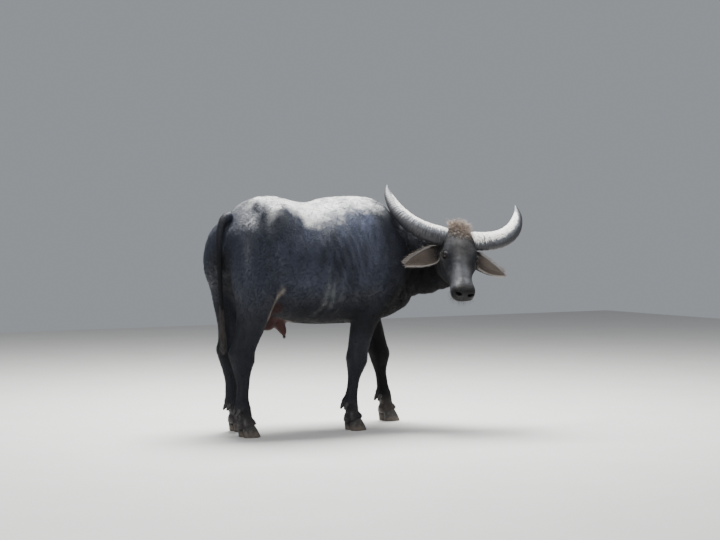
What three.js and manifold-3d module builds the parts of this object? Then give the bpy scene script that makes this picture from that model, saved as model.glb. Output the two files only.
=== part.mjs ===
// A water buffalo bull, life size, standing with its head turned back past its right shoulder.
// Millimetres. +X runs forward along the back, +Y to the animal's left, +Z up. The hooves stand on Z = 0.
import * as THREE from 'three';
import { LoftGeometry } from 'three/addons/geometries/LoftGeometry.js';
import { mergeVertices } from 'three/addons/utils/BufferGeometryUtils.js';
import Module from 'manifold-3d';

const wasm = await Module();
wasm.setup();

// Driving dimensions
const GAP = 0.4; // left between two parts that touch
const WITHERS = 1330; // back over the shoulders
const RUMP = -622; // rearmost flesh of the buttocks
const BREAST = 616; // foremost flesh of the chest
const HORN_BREADTH = 62; // half the front-to-back size of a horn at its root
const HORN_DEPTH = 47; // half its thickness there
const LEFT_HORN_SPREAD = 1.06; // the left horn sweeps wider than the right
const EAR_WALL = 6;
const EYE = 20; // radius of the eyeball
const LID = 6; // thickness of an eyelid
const LIP_LINE = 3; // breadth of the line of the mouth
const CORONET = 66; // height of the top of a claw in front
const CLAW_APART = 29; // middle of a foot to the middle of a claw
const DEWCLAW_APART = 21;
const DEWCLAW_BEHIND = 42; // middle of the fetlock to a dewclaw
const DEWCLAW_HEIGHT = 148;
const DOCK = 26; // half thickness of the tail at its root
const SWITCH_TOP = 745; // height where the long hair of the tail begins
const SWITCH_LOCKS = 16;
const POLL_LOCKS = 16; // between the horns
const LOCK_SIDES = 4; // corners of one lock of hair
const TRUNK_FACETS = [24, 22]; // rings along, corners round
const NECK_FACETS = [10, 18];
const SKULL_FACETS = [20, 20];
const LEG_FACETS = [25, 12];
const TAIL_FACETS = [20, 8];

// The head keeps its own frame: +X down the face to the muzzle, +Y to its left, +Z out of the forehead.
const POLL = [722, -402, 1147]; // top of the forehead, between the horns
const HEADING = -117; // degrees round from straight ahead
const PITCH = 44; // degrees below level
const ROLL = -12; // right side raised

const UP = new THREE.Vector3(0, 0, 1);
const LEFT = new THREE.Vector3(0, 1, 0);
const rad = THREE.MathUtils.degToRad;
const vec = (x, y, z) => new THREE.Vector3(x, y, z);

const HIDE = new THREE.MeshStandardMaterial({ color: 0x3a3d42, roughness: 0.55, metalness: 0 });
const SKIN = new THREE.MeshStandardMaterial({ color: 0x5a3c34, roughness: 0.6, metalness: 0 });
const HAIR = new THREE.MeshStandardMaterial({ color: 0x201c1b, roughness: 0.8, metalness: 0 });
const HORN = new THREE.MeshStandardMaterial({ color: 0x7a756c, roughness: 0.6, metalness: 0 });
const CLAW = new THREE.MeshStandardMaterial({ color: 0x2a2725, roughness: 0.5, metalness: 0 });
const EYEBALL = new THREE.MeshStandardMaterial({ color: 0x140d09, roughness: 0.08, metalness: 0 });

// Value of every column of a table at t, 0 to 1, on a smooth curve through its rows
function along(rows, t) {
  const last = rows.length - 1;
  const i = Math.min(Math.floor(t * last), last - 1);
  const f = t * last - i;
  const at = (k) => rows[THREE.MathUtils.clamp(k, 0, last)];
  const [a, b, c, d] = [at(i - 1), at(i), at(i + 1), at(i + 2)];
  return b.map((value, k) => {
    const slopeIn = (c[k] - a[k]) / 2;
    const slopeOut = (d[k] - value) / 2;
    const rise = c[k] - value;
    return value + f * (slopeIn + f * (3 * rise - 2 * slopeIn - slopeOut + f * (slopeIn + slopeOut - 2 * rise)));
  });
}

const power = (value, square) => Math.sign(value) * Math.abs(value) ** (2 / square);

// Rings round a bent axis. Columns: x, y, z, half width, reach up, reach down, squareness, and how much wider
// the upper half is than the lower. grow adds to every reach; level keeps the rings flat across that direction.
function rings(rows, count, points, { side = LEFT, grow = 0, level = null } = {}) {
  return Array.from({ length: count }, (_, i) => {
    const t = i / (count - 1);
    const [x, y, z, wide, up, down, square, pear] = along(rows, t);
    const ahead = vec(...along(rows, Math.min(1, t + 0.01)));
    const axis = level ?? ahead.sub(vec(...along(rows, Math.max(0, t - 0.01)))).normalize();
    const across = side.clone().addScaledVector(axis, -side.dot(axis)).normalize();
    const over = axis.clone().cross(across);
    const centre = vec(x, y, z).addScaledVector(axis, i === 0 ? -grow : i === count - 1 ? grow : 0);
    return Array.from({ length: points }, (__, j) => {
      const angle = ((j + 0.5) / points) * 2 * Math.PI;
      const high = power(Math.sin(angle), square);
      const reach = (high > 0 ? up : down) + grow;
      const out = power(Math.cos(angle), square) * (wide + grow) * (1 + pear * high);
      return centre.clone().addScaledVector(across, out).addScaledVector(over, high * reach);
    });
  });
}

const skinned = (sections) => new LoftGeometry(sections, { capStart: true, capEnd: true });

// A geometry as a solid that can be joined and cut
function solid(geometry, matrix = null) {
  const bare = new THREE.BufferGeometry();
  bare.setAttribute('position', geometry.attributes.position.clone());
  bare.setIndex(geometry.index);
  if (matrix) bare.applyMatrix4(matrix);
  const merged = mergeVertices(bare, 1e-3);
  const index = merged.index.array;
  const kept = [];
  for (let i = 0; i < index.length; i += 3) {
    const [a, b, c] = index.slice(i, i + 3);
    if (a !== b && b !== c && c !== a) kept.push(a, b, c);
  }
  const vertProperties = new Float32Array(merged.attributes.position.array);
  return new wasm.Manifold(new wasm.Mesh({ numProp: 3, vertProperties, triVerts: new Uint32Array(kept) }));
}

const loft = (rows, count, points, options) => solid(skinned(rings(rows, count, points, options)));
const joined = (solids) => solids.reduce((whole, piece) => whole.add(piece));

// The largest closed surface of a solid, as a geometry
function largest(whole) {
  const pieces = whole.decompose().sort((a, b) => b.volume() - a.volume());
  const mesh = pieces[0].getMesh();
  const geometry = new THREE.BufferGeometry();
  geometry.setAttribute('position', new THREE.BufferAttribute(new Float32Array(mesh.vertProperties), 3));
  geometry.setIndex(new THREE.BufferAttribute(new Uint32Array(mesh.triVerts), 1));
  geometry.computeVertexNormals();
  return geometry;
}

// Everything on the far side of a plane: from a point, in the direction of its normal
function beyond(point, normal, gap = 0) {
  const size = 4000;
  const box = new THREE.BoxGeometry(size, size, size);
  const turn = new THREE.Quaternion().setFromUnitVectors(UP, normal.clone().normalize());
  const centre = point.clone().addScaledVector(normal.clone().normalize(), size / 2 + gap);
  return solid(box, new THREE.Matrix4().compose(centre, turn, vec(1, 1, 1)));
}

// A ball, or an egg with a radius for each axis, in the frame that place gives
function egg(place, centre, radii, facets = [14, 8]) {
  const stretch = new THREE.Matrix4().compose(centre, new THREE.Quaternion(), radii);
  return solid(new THREE.SphereGeometry(1, ...facets), place.clone().multiply(stretch));
}

const ball = (place, centre, radius, facets) => egg(place, centre, vec(radius, radius, radius), facets);

// A block in the frame that place gives, turned by pitch about its side axis
function block(place, centre, size, pitch = 0) {
  const turn = new THREE.Quaternion().setFromAxisAngle(LEFT, pitch);
  const stand = new THREE.Matrix4().compose(centre, turn, size);
  return solid(new THREE.BoxGeometry(1, 1, 1), place.clone().multiply(stand));
}

// Seeded draws, the same on every run
function draws(seed) {
  let state = seed;
  return () => {
    state = (state * 1664525 + 1013904223) % 4294967296;
    return state / 4294967296;
  };
}

// Trunk, from the buttocks to the breast
const TRUNK = [
  [RUMP + 8, 0, 1085, 90, 60, 95, 2.2, 0],
  [RUMP + 30, 0, 1080, 155, 118, 155, 2.2, 0],
  [-550, 0, 1072, 198, 180, 215, 2.3, 0],
  [-490, 0, 1057, 236, 246, 275, 2.4, 0.03],
  [-405, 0, 1040, 262, 308, 330, 2.5, 0.06],
  [-300, 0, 1005, 288, 327, 345, 2.4, 0.02],
  [-170, 0, 960, 322, 354, 338, 2.3, -0.04],
  [-50, 0, 935, 340, 377, 328, 2.25, -0.06],
  [80, 0, 930, 332, 397, 326, 2.2, -0.08],
  [200, 0, 930, 305, WITHERS - 928, 326, 2.1, -0.1],
  [330, 0, 935, 274, WITHERS - 936, 325, 2.1, -0.08],
  [450, 0, 950, 238, 356, 305, 2.1, -0.04],
  [540, 0, 968, 196, 268, 255, 2.1, 0],
  [590, 0, 978, 145, 195, 175, 2.1, 0],
  [BREAST, 0, 980, 75, 90, 85, 2.1, 0],
];

// Neck, bent to the right, from inside the shoulders to inside the back of the head
const NECK = [
  [400, 0, 1005, 175, 270, 295, 2.1, 0],
  [512, -16, 1003, 158, 228, 268, 2.1, 0],
  [608, -78, 1000, 136, 196, 245, 2.1, 0],
  [676, -166, 1010, 118, 158, 232, 2.1, 0],
  [716, -252, 1025, 104, 126, 208, 2.1, 0],
  [738, -328, 1040, 92, 100, 172, 2.1, 0],
];

// Head, in its own frame, from behind the poll to the muzzle
const SKULL = [
  [-42, 0, -100, 62, 62, 70, 2.3, 0.1],
  [-18, 0, -103, 88, 100, 110, 2.5, 0.12],
  [30, 0, -105, 100, 118, 128, 2.6, 0.14],
  [90, 0, -108, 102, 120, 136, 2.6, 0.16],
  [150, 0, -110, 100, 116, 136, 2.6, 0.2],
  [200, 0, -104, 92, 104, 124, 2.5, 0.2],
  [258, 0, -92, 77, 86, 98, 2.4, 0.12],
  [318, 0, -82, 66, 72, 80, 2.3, 0.06],
  [374, 0, -75, 62, 62, 74, 2.4, 0.02],
  [416, 0, -72, 64, 60, 74, 2.5, 0.02],
  [450, 0, -72, 62, 54, 68, 2.6, 0.02],
  [471, 0, -74, 50, 42, 54, 2.5, 0],
];

// Fore leg, from over the shoulder to under the coronet: x, out from the middle, z, half width, front, back
const FORE_HINGED = (shoulder, elbow, knee, fetlock, hoof) => [
  [shoulder - 50, 100, 1190, 48, 55, 65, 2.1, 0],
  [shoulder - 10, 150, 1085, 80, 105, 118, 2.1, 0],
  [shoulder, 172, 960, 94, 132, 150, 2.1, 0],
  [THREE.MathUtils.lerp(shoulder, elbow, 0.5), 188, 840, 96, 128, 140, 2.1, 0],
  [elbow + 12, 190, 735, 86, 98, 105, 2.1, 0],
  [THREE.MathUtils.lerp(elbow, knee, 0.4), 182, 640, 70, 82, 82, 2.1, 0],
  [THREE.MathUtils.lerp(elbow, knee, 0.7), 173, 540, 60, 68, 68, 2.1, 0],
  [knee + (elbow - knee) * 0.08, 166, 450, 56, 59, 57, 2.3, 0],
  [knee, 163, 400, 57, 60, 53, 2.5, 0],
  [knee + (fetlock - knee) * 0.15, 161, 355, 49, 48, 46, 2.4, 0],
  [knee + (fetlock - knee) * 0.4, 159, 290, 34, 33, 36, 2.2, 0],
  [knee + (fetlock - knee) * 0.75, 158, 215, 34, 33, 36, 2.2, 0],
  [fetlock, 157, 160, 42, 39, 44, 2.3, 0],
  [(fetlock + hoof) / 2, 157, 115, 39, 37, 38, 2.3, 0],
  [hoof - 12, 157, 78, 46, 42, 44, 2.5, 0],
  [hoof, 157, 40, 50, 50, 46, 2.5, 0],
];

// Hind leg, from over the hip to under the coronet
const HIND_HINGED = (stifle, hock, fetlock, hoof) => [
  [-435, 95, 1195, 60, 65, 80, 2.1, 0],
  [-462, 138, 1095, 100, 130, 138, 2.2, 0],
  [-485, 156, 970, 112, 158, 144, 2.2, 0],
  [stifle, 162, 850, 112, 145, 128, 2.2, 0],
  [stifle - 3, 160, 745, 98, 115, 104, 2.1, 0],
  [THREE.MathUtils.lerp(stifle, hock, 0.22), 155, 645, 80, 90, 84, 2.1, 0],
  [THREE.MathUtils.lerp(stifle, hock, 0.6), 150, 555, 64, 74, 74, 2.1, 0],
  [THREE.MathUtils.lerp(stifle, hock, 0.92), 147, 480, 57, 68, 72, 2.3, 0],
  [hock, 146, 425, 56, 70, 66, 2.5, 0],
  [hock + 2, 145, 370, 48, 52, 50, 2.4, 0],
  [hock + 8, 145, 295, 36, 35, 38, 2.2, 0],
  [(hock + fetlock) / 2, 145, 220, 35, 34, 38, 2.2, 0],
  [fetlock, 145, 160, 42, 39, 44, 2.3, 0],
  [(fetlock + hoof) / 2, 145, 115, 39, 37, 38, 2.3, 0],
  [hoof - 12, 145, 78, 46, 42, 44, 2.5, 0],
  [hoof, 145, 40, 50, 50, 46, 2.5, 0],
];

// The four legs: side is +1 on the left, cut is where the leg leaves the trunk
const LEGS = [
  { name: 'foreleg_right', side: -1, rows: FORE_HINGED(395, 250, 172, 138, 160), cut: vec(270, 0, 705), lean: 0.25 },
  { name: 'foreleg_left', side: 1, rows: FORE_HINGED(445, 405, 532, 566, 592), cut: vec(400, 0, 705), lean: 0.25 },
  { name: 'hindleg_right', side: -1, rows: HIND_HINGED(-492, -562, -552, -527), cut: vec(-480, 0, 700), lean: 0.3 },
  { name: 'hindleg_left', side: 1, rows: HIND_HINGED(-462, -480, -458, -430), cut: vec(-480, 0, 700), lean: 0.3 },
];

const SCROTUM = [
  [-330, 0, 735, 40, 40, 40, 2.1, 0],
  [-328, 0, 690, 46, 42, 42, 2.1, 0],
  [-326, 0, 640, 56, 50, 48, 2.1, 0],
  [-324, 0, 600, 52, 44, 42, 2.1, 0],
  [-323, 0, 578, 28, 24, 24, 2.1, 0],
];

const SHEATH = [
  [-300, 0, 665, 26, 26, 30, 2.1, 0],
  [-262, 0, 628, 30, 30, 34, 2.1, 0],
  [-230, 0, 592, 26, 30, 28, 2.1, 0],
  [-214, 0, 562, 18, 20, 19, 2.1, 0],
  [-208, 0, 540, 9, 10, 9, 2.1, 0],
];

const TAIL = [
  [-555, 0, 1228, DOCK, DOCK, DOCK, 2.1, 0],
  [-592, -5, 1207, DOCK, DOCK - 2, DOCK, 2.1, 0],
  [-622, -18, 1160, DOCK - 4, 20, 22, 2.1, 0],
  [-641, -34, 1090, 19, 17, 18, 2.1, 0],
  [-649, -47, 990, 15, 14, 14, 2.1, 0],
  [-648, -54, 870, 12, 12, 12, 2.1, 0],
  [-642, -57, 750, 10, 10, 10, 2.1, 0],
  [-637, -58, 660, 9, 9, 9, 2.1, 0],
  [-634, -58, 600, 6, 6, 6, 2.1, 0],
];

// A horn, in the head's frame: out to the side, back over the neck and a little behind the face. Last column: size
const HORN_ROWS = (side) => [
  [36, 52, -48, 0.92],
  [30, 98, -46, 1],
  [20, 160, -44, 0.98],
  [-10, 232, -46, 0.94],
  [-66, 298, -50, 0.85],
  [-146, 350, -55, 0.7],
  [-242, 382, -62, 0.47],
  [-312, 388, -68, 0.24],
  [-360, 386, -72, 0.05],
].map(([x, y, z, size]) => [x, (side > 0 ? LEFT_HORN_SPREAD : -1) * y, z, HORN_DEPTH * size, HORN_BREADTH * size, HORN_BREADTH * size, 1.9, 0]);

// A swept horn with ridges across it that fade towards the tip
function horn(side, grow = 0) {
  const count = 40;
  const points = 10;
  const forehead = vec(0, 0, side);
  const sections = rings(HORN_ROWS(side), count, points, { side: forehead, grow });
  const rows = HORN_ROWS(side);
  sections.forEach((section, i) => {
    const t = i / (count - 1);
    const centre = vec(...along(rows, t));
    const fade = THREE.MathUtils.smoothstep(t, 0.1, 0.2) * (1 - THREE.MathUtils.smoothstep(t, 0.55, 0.85));
    const ridge = 1 + 0.035 * fade * (i % 3 === 0 ? 1 : -0.5);
    section.forEach((point) => point.sub(centre).multiplyScalar(ridge).add(centre));
  });
  return skinned(sections);
}

// A cupped ear: a U-shaped wall round a hollow that faces forwards, closed by a stalk at its root
const EAR_ROWS = (side) => [
  [112, 92, -106, 30, 34],
  [126, 122, -114, 44, 44],
  [140, 160, -122, 60, 44],
  [156, 200, -130, 67, 38],
  [168, 240, -136, 56, 28],
  [178, 272, -140, 34, 18],
  [185, 298, -143, 10, 9],
].map(([x, y, z, half, deep]) => [x, side * y, z, half, deep]);

function ear(side) {
  const count = 12;
  const arc = 6;
  const rows = EAR_ROWS(side);
  const facing = vec(0.12, side * 0.3, 1).normalize();
  const sections = Array.from({ length: count }, (_, i) => {
    const t = i / (count - 1);
    const [x, y, z, half, deep] = along(rows, t);
    const axis = vec(...along(rows, Math.min(1, t + 0.02))).sub(vec(...along(rows, Math.max(0, t - 0.02)))).normalize();
    const open = facing.clone().addScaledVector(axis, -facing.dot(axis)).normalize();
    const across = open.clone().cross(axis);
    const wall = Math.min(EAR_WALL, deep * 0.6, half * 0.6);
    const at = (angle, less) => vec(x, y, z)
      .addScaledVector(across, Math.cos(angle) * (half - less))
      .addScaledVector(open, deep * 0.4 - Math.sin(angle) * (deep - less));
    const turn = (k) => (k / (arc - 1)) * Math.PI;
    const outer = Array.from({ length: arc }, (__, k) => at(-turn(k) + Math.PI, 0));
    const inner = Array.from({ length: arc }, (__, k) => at(turn(k), wall));
    return [...outer, ...inner];
  });
  return skinned(sections);
}

const EAR_STALK = (side) => [
  [102, side * 74, -102, 28, 30, 30, 2.1, 0],
  [111, side * 94, -108, 27, 28, 30, 2.1, 0],
  [117, side * 107, -112, 20, 19, 26, 2.1, 0],
];

const earStalk = (side, grow = 0) => skinned(rings(EAR_STALK(side), 4, 10, { side: vec(1, 0, 0), grow }));

// One claw of a cloven foot, flat below, standing about its own middle
const CLAW_ROWS = [
  [-10, 0, 90, 20, 26, 34, 2.4, 0],
  [-4, 0, 66, 23, 34, 40, 2.4, 0],
  [6, 0, 32, 26, 47, 46, 2.5, 0],
  [13, 0, 0, 28, 54, 48, 2.6, 0],
];

const DEWCLAW_ROWS = [
  [10, 0, 16, 10, 10, 10, 2.1, 0],
  [-2, 0, 8, 14, 14, 14, 2.1, 0],
  [-10, 0, -8, 13, 13, 12, 2.1, 0],
  [-15, 0, -24, 6, 6, 6, 2.1, 0],
];

// One flat lock of hair: from its root along a direction, bent towards bend as it goes, its flat side to face
function lock({ root, direction, bend, length, width, thick, face }) {
  const count = 5;
  const rows = Array.from({ length: count }, (_, i) => {
    const t = i / (count - 1);
    const point = root.clone().addScaledVector(direction, length * t).addScaledVector(bend, t * t);
    const taper = Math.max(0.14, (1 - t ** 2.4) * (0.75 + 0.25 * Math.sin(Math.PI * t)));
    return [...point.toArray(), width * taper, thick * taper, thick * taper, 2, 0];
  });
  return loft(rows, count, LOCK_SIDES, { side: face });
}

const headPlace = new THREE.Object3D();
headPlace.position.set(...POLL);
headPlace.rotation.set(rad(ROLL), rad(PITCH), rad(HEADING), 'ZYX');
headPlace.updateMatrixWorld();
const HEAD = headPlace.matrixWorld;

const bull = new THREE.Group();

function node(name, geometry, material) {
  const mesh = new THREE.Mesh(geometry, material);
  mesh.name = name;
  bull.add(mesh);
  return mesh;
}

const mirrored = (rows, side) => rows.map(([x, y, ...rest]) => [x, side * y, ...rest]);

// Flesh of the trunk, neck and head in one
const trunkSolid = loft(TRUNK, ...TRUNK_FACETS);
const trunkGrown = loft(TRUNK, ...TRUNK_FACETS, { grow: GAP });
const neckSolid = loft(NECK, ...NECK_FACETS);
const headSolid = solid(skinned(rings(SKULL, ...SKULL_FACETS)), HEAD);

const feet = [];
for (const { name, side, rows, cut, lean } of LEGS) {
  const legRows = mirrored(rows, side);
  const whole = loft(legRows, ...LEG_FACETS);
  const down = vec(0, side * lean, -1);
  const coronet = vec(legRows.at(-2)[0], 0, CORONET);
  const slope = vec(0.2, 0, -1);
  const upper = whole.subtract(beyond(cut, down));
  const lower = whole.intersect(beyond(cut, down, GAP)).subtract(beyond(coronet, slope)).subtract(trunkGrown);
  feet.push({ name, side, upper, lower, coronet, slope, rows: legRows });
}

const body = joined([trunkSolid, neckSolid, headSolid, ...feet.map((foot) => foot.upper)]);
const neckRoot = { point: vec(430, 0, WITHERS - 10), normal: vec(0.936, 0, 0.351) };
const nape = { point: vec(706, -232, 1030), normal: vec(0.62, -0.785, 0) };
const faceward = beyond(nape.point, nape.normal);
let trunk = body.subtract(beyond(neckRoot.point, neckRoot.normal)).subtract(faceward);
const neck = body.intersect(beyond(neckRoot.point, neckRoot.normal, GAP)).subtract(faceward);
let head = body.intersect(beyond(nape.point, nape.normal, GAP));

const scrotum = loft(SCROTUM, 10, 12).subtract(trunkGrown);
const sheath = loft(SHEATH, 12, 12).subtract(trunkGrown).subtract(loft(SCROTUM, 10, 12, { grow: GAP }));

// Tail with the locks of its switch, each hanging from its own place on the core
const draw = draws(7);
const tailPieces = [loft(TAIL, ...TAIL_FACETS)];
for (let i = 0; i < SWITCH_LOCKS; i += 1) {
  const t = 0.765 + 0.225 * (i / (SWITCH_LOCKS - 1));
  const around = i * 2.4;
  const out = vec(Math.cos(around), Math.sin(around), 0);
  tailPieces.push(lock({
    root: vec(...along(TAIL, t)).addScaledVector(out, 3),
    direction: out.clone().multiplyScalar(0.11).add(vec(0, 0, -1)).normalize(),
    bend: out.clone().multiplyScalar(-9 + 6 * draw()),
    length: 125 + 35 * draw(),
    width: 11,
    thick: 4,
    face: vec(-out.y, out.x, 0),
  }));
}
const tailWhole = joined(tailPieces);
const switchTop = vec(0, 0, SWITCH_TOP);
const tail = tailWhole.subtract(beyond(switchTop, vec(0, 0, -1)));
const tailSwitch = tailWhole.intersect(beyond(switchTop, vec(0, 0, -1), GAP));
trunk = trunk.subtract(loft(TAIL, ...TAIL_FACETS, { grow: GAP }));

// Brows, lids, wings of the nostrils and chin, raised on the head before its openings are cut
const EYE_PLACE = (side) => vec(186, side * 84, -40);
const NOSTRIL = (side) => vec(442, side * 34, -38);
const raised = [egg(HEAD, vec(428, 0, -130), vec(30, 44, 20), [12, 8])];
for (const side of [-1, 1]) {
  raised.push(ball(HEAD, EYE_PLACE(side), EYE + LID, [14, 8]));
  raised.push(egg(HEAD, vec(168, side * 60, -33), vec(54, 33, 20), [12, 8]));
  raised.push(egg(HEAD, NOSTRIL(side).add(vec(-2, 0, -6)), vec(30, 27, 24), [12, 8]));
}
head = joined([head, ...raised]);

// The line of the mouth runs round the muzzle, and the lower lip stands back from the upper one
const muzzle = (grow) => solid(skinned(rings(SKULL, ...SKULL_FACETS, { grow })), HEAD);
const lipSlope = rad(-5);
const lipLine = block(HEAD, vec(412, 0, -106), vec(170, 220, LIP_LINE), lipSlope).subtract(muzzle(-5));
head = head.subtract(lipLine).subtract(block(HEAD, vec(484, 0, -157), vec(46, 180, 100), lipSlope));

// Hair between the horns: rows of locks that stand up off the poll and lie down the forehead
const forelock = [];
for (let i = 0; i < POLL_LOCKS; i += 1) {
  const row = i % 4;
  const spread = Math.floor(i / 4) - 1.5;
  const rise = 0.75 - 0.12 * row;
  forelock.push(lock({
    root: vec(-6 + 20 * row, spread * 24 + (draw() - 0.5) * 14, 0).applyMatrix4(HEAD),
    direction: vec(1, spread * 0.16, rise).transformDirection(HEAD),
    bend: vec(14, spread * 6, -16 - 8 * draw()).applyMatrix4(HEAD).sub(headPlace.position),
    length: 62 + 26 * draw(),
    width: 14,
    thick: 6,
    face: vec(0, 1, 0).transformDirection(HEAD),
  }));
}
head = joined([head, ...forelock]);

for (const [name, side] of [['right', -1], ['left', 1]]) {
  head = head.subtract(solid(horn(side, GAP), HEAD)).subtract(solid(earStalk(side, GAP), HEAD));
  const earSolid = solid(ear(side), HEAD).add(solid(earStalk(side), HEAD));
  const eyePlace = EYE_PLACE(side);
  const slit = egg(HEAD, eyePlace.clone().add(vec(0, side * EYE, 2)), vec(19, 22, 10), [14, 8]);
  const pit = egg(HEAD, NOSTRIL(side).add(vec(20, 8 * side, 4)), vec(18, 16, 9), [10, 6]);
  head = head.subtract(ball(HEAD, eyePlace, EYE + GAP)).subtract(slit).subtract(pit);
  node(`horn_${name}`, largest(solid(horn(side), HEAD)), HORN);
  node(`ear_${name}`, largest(earSolid.subtract(head)), HIDE);
  node(`eye_${name}`, largest(ball(HEAD, eyePlace, EYE)), EYEBALL);
}

for (const { name, side, lower, coronet, slope, rows } of feet) {
  let leg = lower;
  const fetlock = rows.at(-4);
  const hoof = rows.at(-1);
  for (const [hand, across] of [['outer', side], ['inner', -side]]) {
    const claw = loft(CLAW_ROWS, 6, 12, { level: vec(0, 0, -1) })
      .translate([hoof[0], hoof[1] + across * CLAW_APART, 0])
      .intersect(beyond(coronet, slope, GAP));
    node(`claw_${name}_${hand}`, largest(claw), CLAW);
    const place = [fetlock[0] - DEWCLAW_BEHIND, fetlock[1] + across * DEWCLAW_APART, DEWCLAW_HEIGHT];
    const dew = loft(DEWCLAW_ROWS, 5, 6).translate(place);
    leg = leg.subtract(loft(DEWCLAW_ROWS, 5, 6, { grow: GAP }).translate(place));
    node(`dewclaw_${name}_${hand}`, largest(dew), CLAW);
  }
  node(name, largest(leg), HIDE);
}

node('torso', largest(trunk), HIDE);
node('neck', largest(neck), HIDE);
node('head', largest(head), HIDE);
node('tail', largest(tail), HIDE);
node('tail_switch', largest(tailSwitch), HAIR);
node('scrotum', largest(scrotum), SKIN);
node('sheath', largest(sheath), SKIN);

// Origin: the middle of the box round the animal, on the ground
const reach = new THREE.Box3().setFromObject(bull);
const middle = reach.getCenter(vec(0, 0, 0));
bull.position.set(-middle.x, -middle.y, 0);

export default bull;
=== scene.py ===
# %% [markdown]
# # A water buffalo bull, life size
# This lesson dresses a solid model of a standing water buffalo so that it looks alive. The solids came from
# a CAD program, one closed body for each part of the animal. Here the flesh gets one unbroken hide, the
# horns their rings, the eyes their lids, and the coat its hair. Everything is in metres, +X runs forward
# along the back, +Y to the animal's left, and the claws stand on Z = 0.

# %% Load the solid model
import math
import bmesh
import bpy
import numpy as np
from mathutils import Matrix, Vector


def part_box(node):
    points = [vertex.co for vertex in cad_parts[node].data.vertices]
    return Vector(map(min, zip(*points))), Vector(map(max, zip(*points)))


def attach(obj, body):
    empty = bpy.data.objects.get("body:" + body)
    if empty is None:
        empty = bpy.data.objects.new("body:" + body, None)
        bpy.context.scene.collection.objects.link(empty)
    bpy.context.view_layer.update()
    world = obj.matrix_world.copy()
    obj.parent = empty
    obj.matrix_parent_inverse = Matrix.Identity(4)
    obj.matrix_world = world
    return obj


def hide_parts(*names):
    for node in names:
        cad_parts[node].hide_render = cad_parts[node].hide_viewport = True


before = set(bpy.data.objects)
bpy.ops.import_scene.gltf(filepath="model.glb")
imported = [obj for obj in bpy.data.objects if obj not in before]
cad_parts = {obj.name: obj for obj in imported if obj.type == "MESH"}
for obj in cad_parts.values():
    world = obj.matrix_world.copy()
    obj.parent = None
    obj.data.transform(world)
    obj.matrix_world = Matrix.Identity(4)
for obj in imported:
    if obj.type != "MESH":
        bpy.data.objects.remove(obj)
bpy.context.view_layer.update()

# %% [markdown]
# ## The head's own frame
# The head is turned back past the right shoulder and hangs down. It is far easier to shape it in a frame of
# its own: +X down the face to the muzzle, +Y to its left, +Z out of the forehead. A turn and a place carry
# that frame into the animal's.

# %% The head's frame
POLL = np.array([0.722, -0.402, 1.147])
HEADING, PITCH, ROLL = (math.radians(angle) for angle in (-117, 44, -12))
HEAD_TURN = np.array(
    Matrix.Rotation(HEADING, 3, "Z") @ Matrix.Rotation(PITCH, 3, "Y") @ Matrix.Rotation(ROLL, 3, "X")
)


def from_head(points):
    """Points of the head's frame in the animal's: turned, then moved to the poll."""
    return np.asarray(points, float) @ HEAD_TURN.T + POLL


def to_head(points):
    """Points of the animal's frame in the head's: the turn and the move undone."""
    return (np.asarray(points, float) - POLL) @ HEAD_TURN


EYE_RADIUS = 0.020
EYE_PLACE = np.array([0.186, 0.084, -0.040])
HEAD_MIDDLE = np.array([0.2, 0, -0.1])

# %% [markdown]
# ## Where the animal stands
# The forms below are written in the animal's own frame, whose middle line is Y = 0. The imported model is
# centred on its box instead, so the two differ by a shift. The eyeballs give it: they are round, so the
# middles of their boxes are their centres, whose places in the animal's frame are known.

# %% The shift from the animal's frame to the model's
eye_boxes = [
    np.mean([np.array(corner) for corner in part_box(name)], axis=0) for name in ("eye_left", "eye_right")
]
SHIFT = np.mean(eye_boxes, axis=0) - from_head(EYE_PLACE * [1, 0, 1])
error = np.abs(eye_boxes[0] - SHIFT - from_head(EYE_PLACE)).max()
print("shift", SHIFT.round(4), "and the left eye is off by", round(float(error) * 1000, 2), "mm")
SHIFT[2] = 0

# %% [markdown]
# ## The camera
# The photo looks at the animal's right side and somewhat from behind, from far off, nearly level. The
# camera stands at that angle and its long lens keeps the legs parallel. The aim is given as two distances
# from the point on the ground under the middle of the trunk: one across the picture and one up it.

# %% Camera
VIEW_AZIMUTH = math.radians(-32)
VIEW_ELEVATION = math.radians(2)
VIEW_DISTANCE = 11.5
AIM_ACROSS, AIM_UP = 0.254, 0.914
look = Vector((
    -math.sin(VIEW_AZIMUTH) * math.cos(VIEW_ELEVATION),
    math.cos(VIEW_AZIMUTH) * math.cos(VIEW_ELEVATION),
    -math.sin(VIEW_ELEVATION),
))
across = Vector((math.cos(VIEW_AZIMUTH), math.sin(VIEW_AZIMUTH), 0))
upward = across.cross(look)
aim = Vector(SHIFT) + across * AIM_ACROSS + upward * AIM_UP
camera = bpy.data.objects.new("camera", bpy.data.cameras.new("camera"))
camera.data.lens = 100
camera.data.sensor_width = 36
camera.data.clip_end = 60
turned = Matrix((across, upward, -look)).transposed().to_4x4()
camera.matrix_world = Matrix.Translation(aim - look * VIEW_DISTANCE) @ turned
bpy.context.scene.collection.objects.link(camera)
bpy.context.scene.camera = camera
print("camera at", [round(v, 2) for v in camera.location])

# %% [markdown]
# ## Tubes from a few rows
# Nearly every form here is a profile carried along a bent path: a trunk, a leg, a horn. A form is written as
# a few rows, each with a place, a half width, a reach up and a reach down, and a smooth curve through the
# rows gives as many rings as the mesh needs. Two more columns say how square the ring is, and how much
# wider its upper half is than its lower.

# %% Soft steps
def ramp(value, start, end):
    """0 up to the start, 1 past the end, and a smooth S between them; the end may be the lower one."""
    t = np.clip((value - start) / (end - start), 0, 1)
    return t * t * (3 - 2 * t)


def span(value, start, full, fading, end):
    """A ramp up from the start to full, and down again from fading to the end."""
    return ramp(value, start, full) * ramp(value, end, fading)


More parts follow.
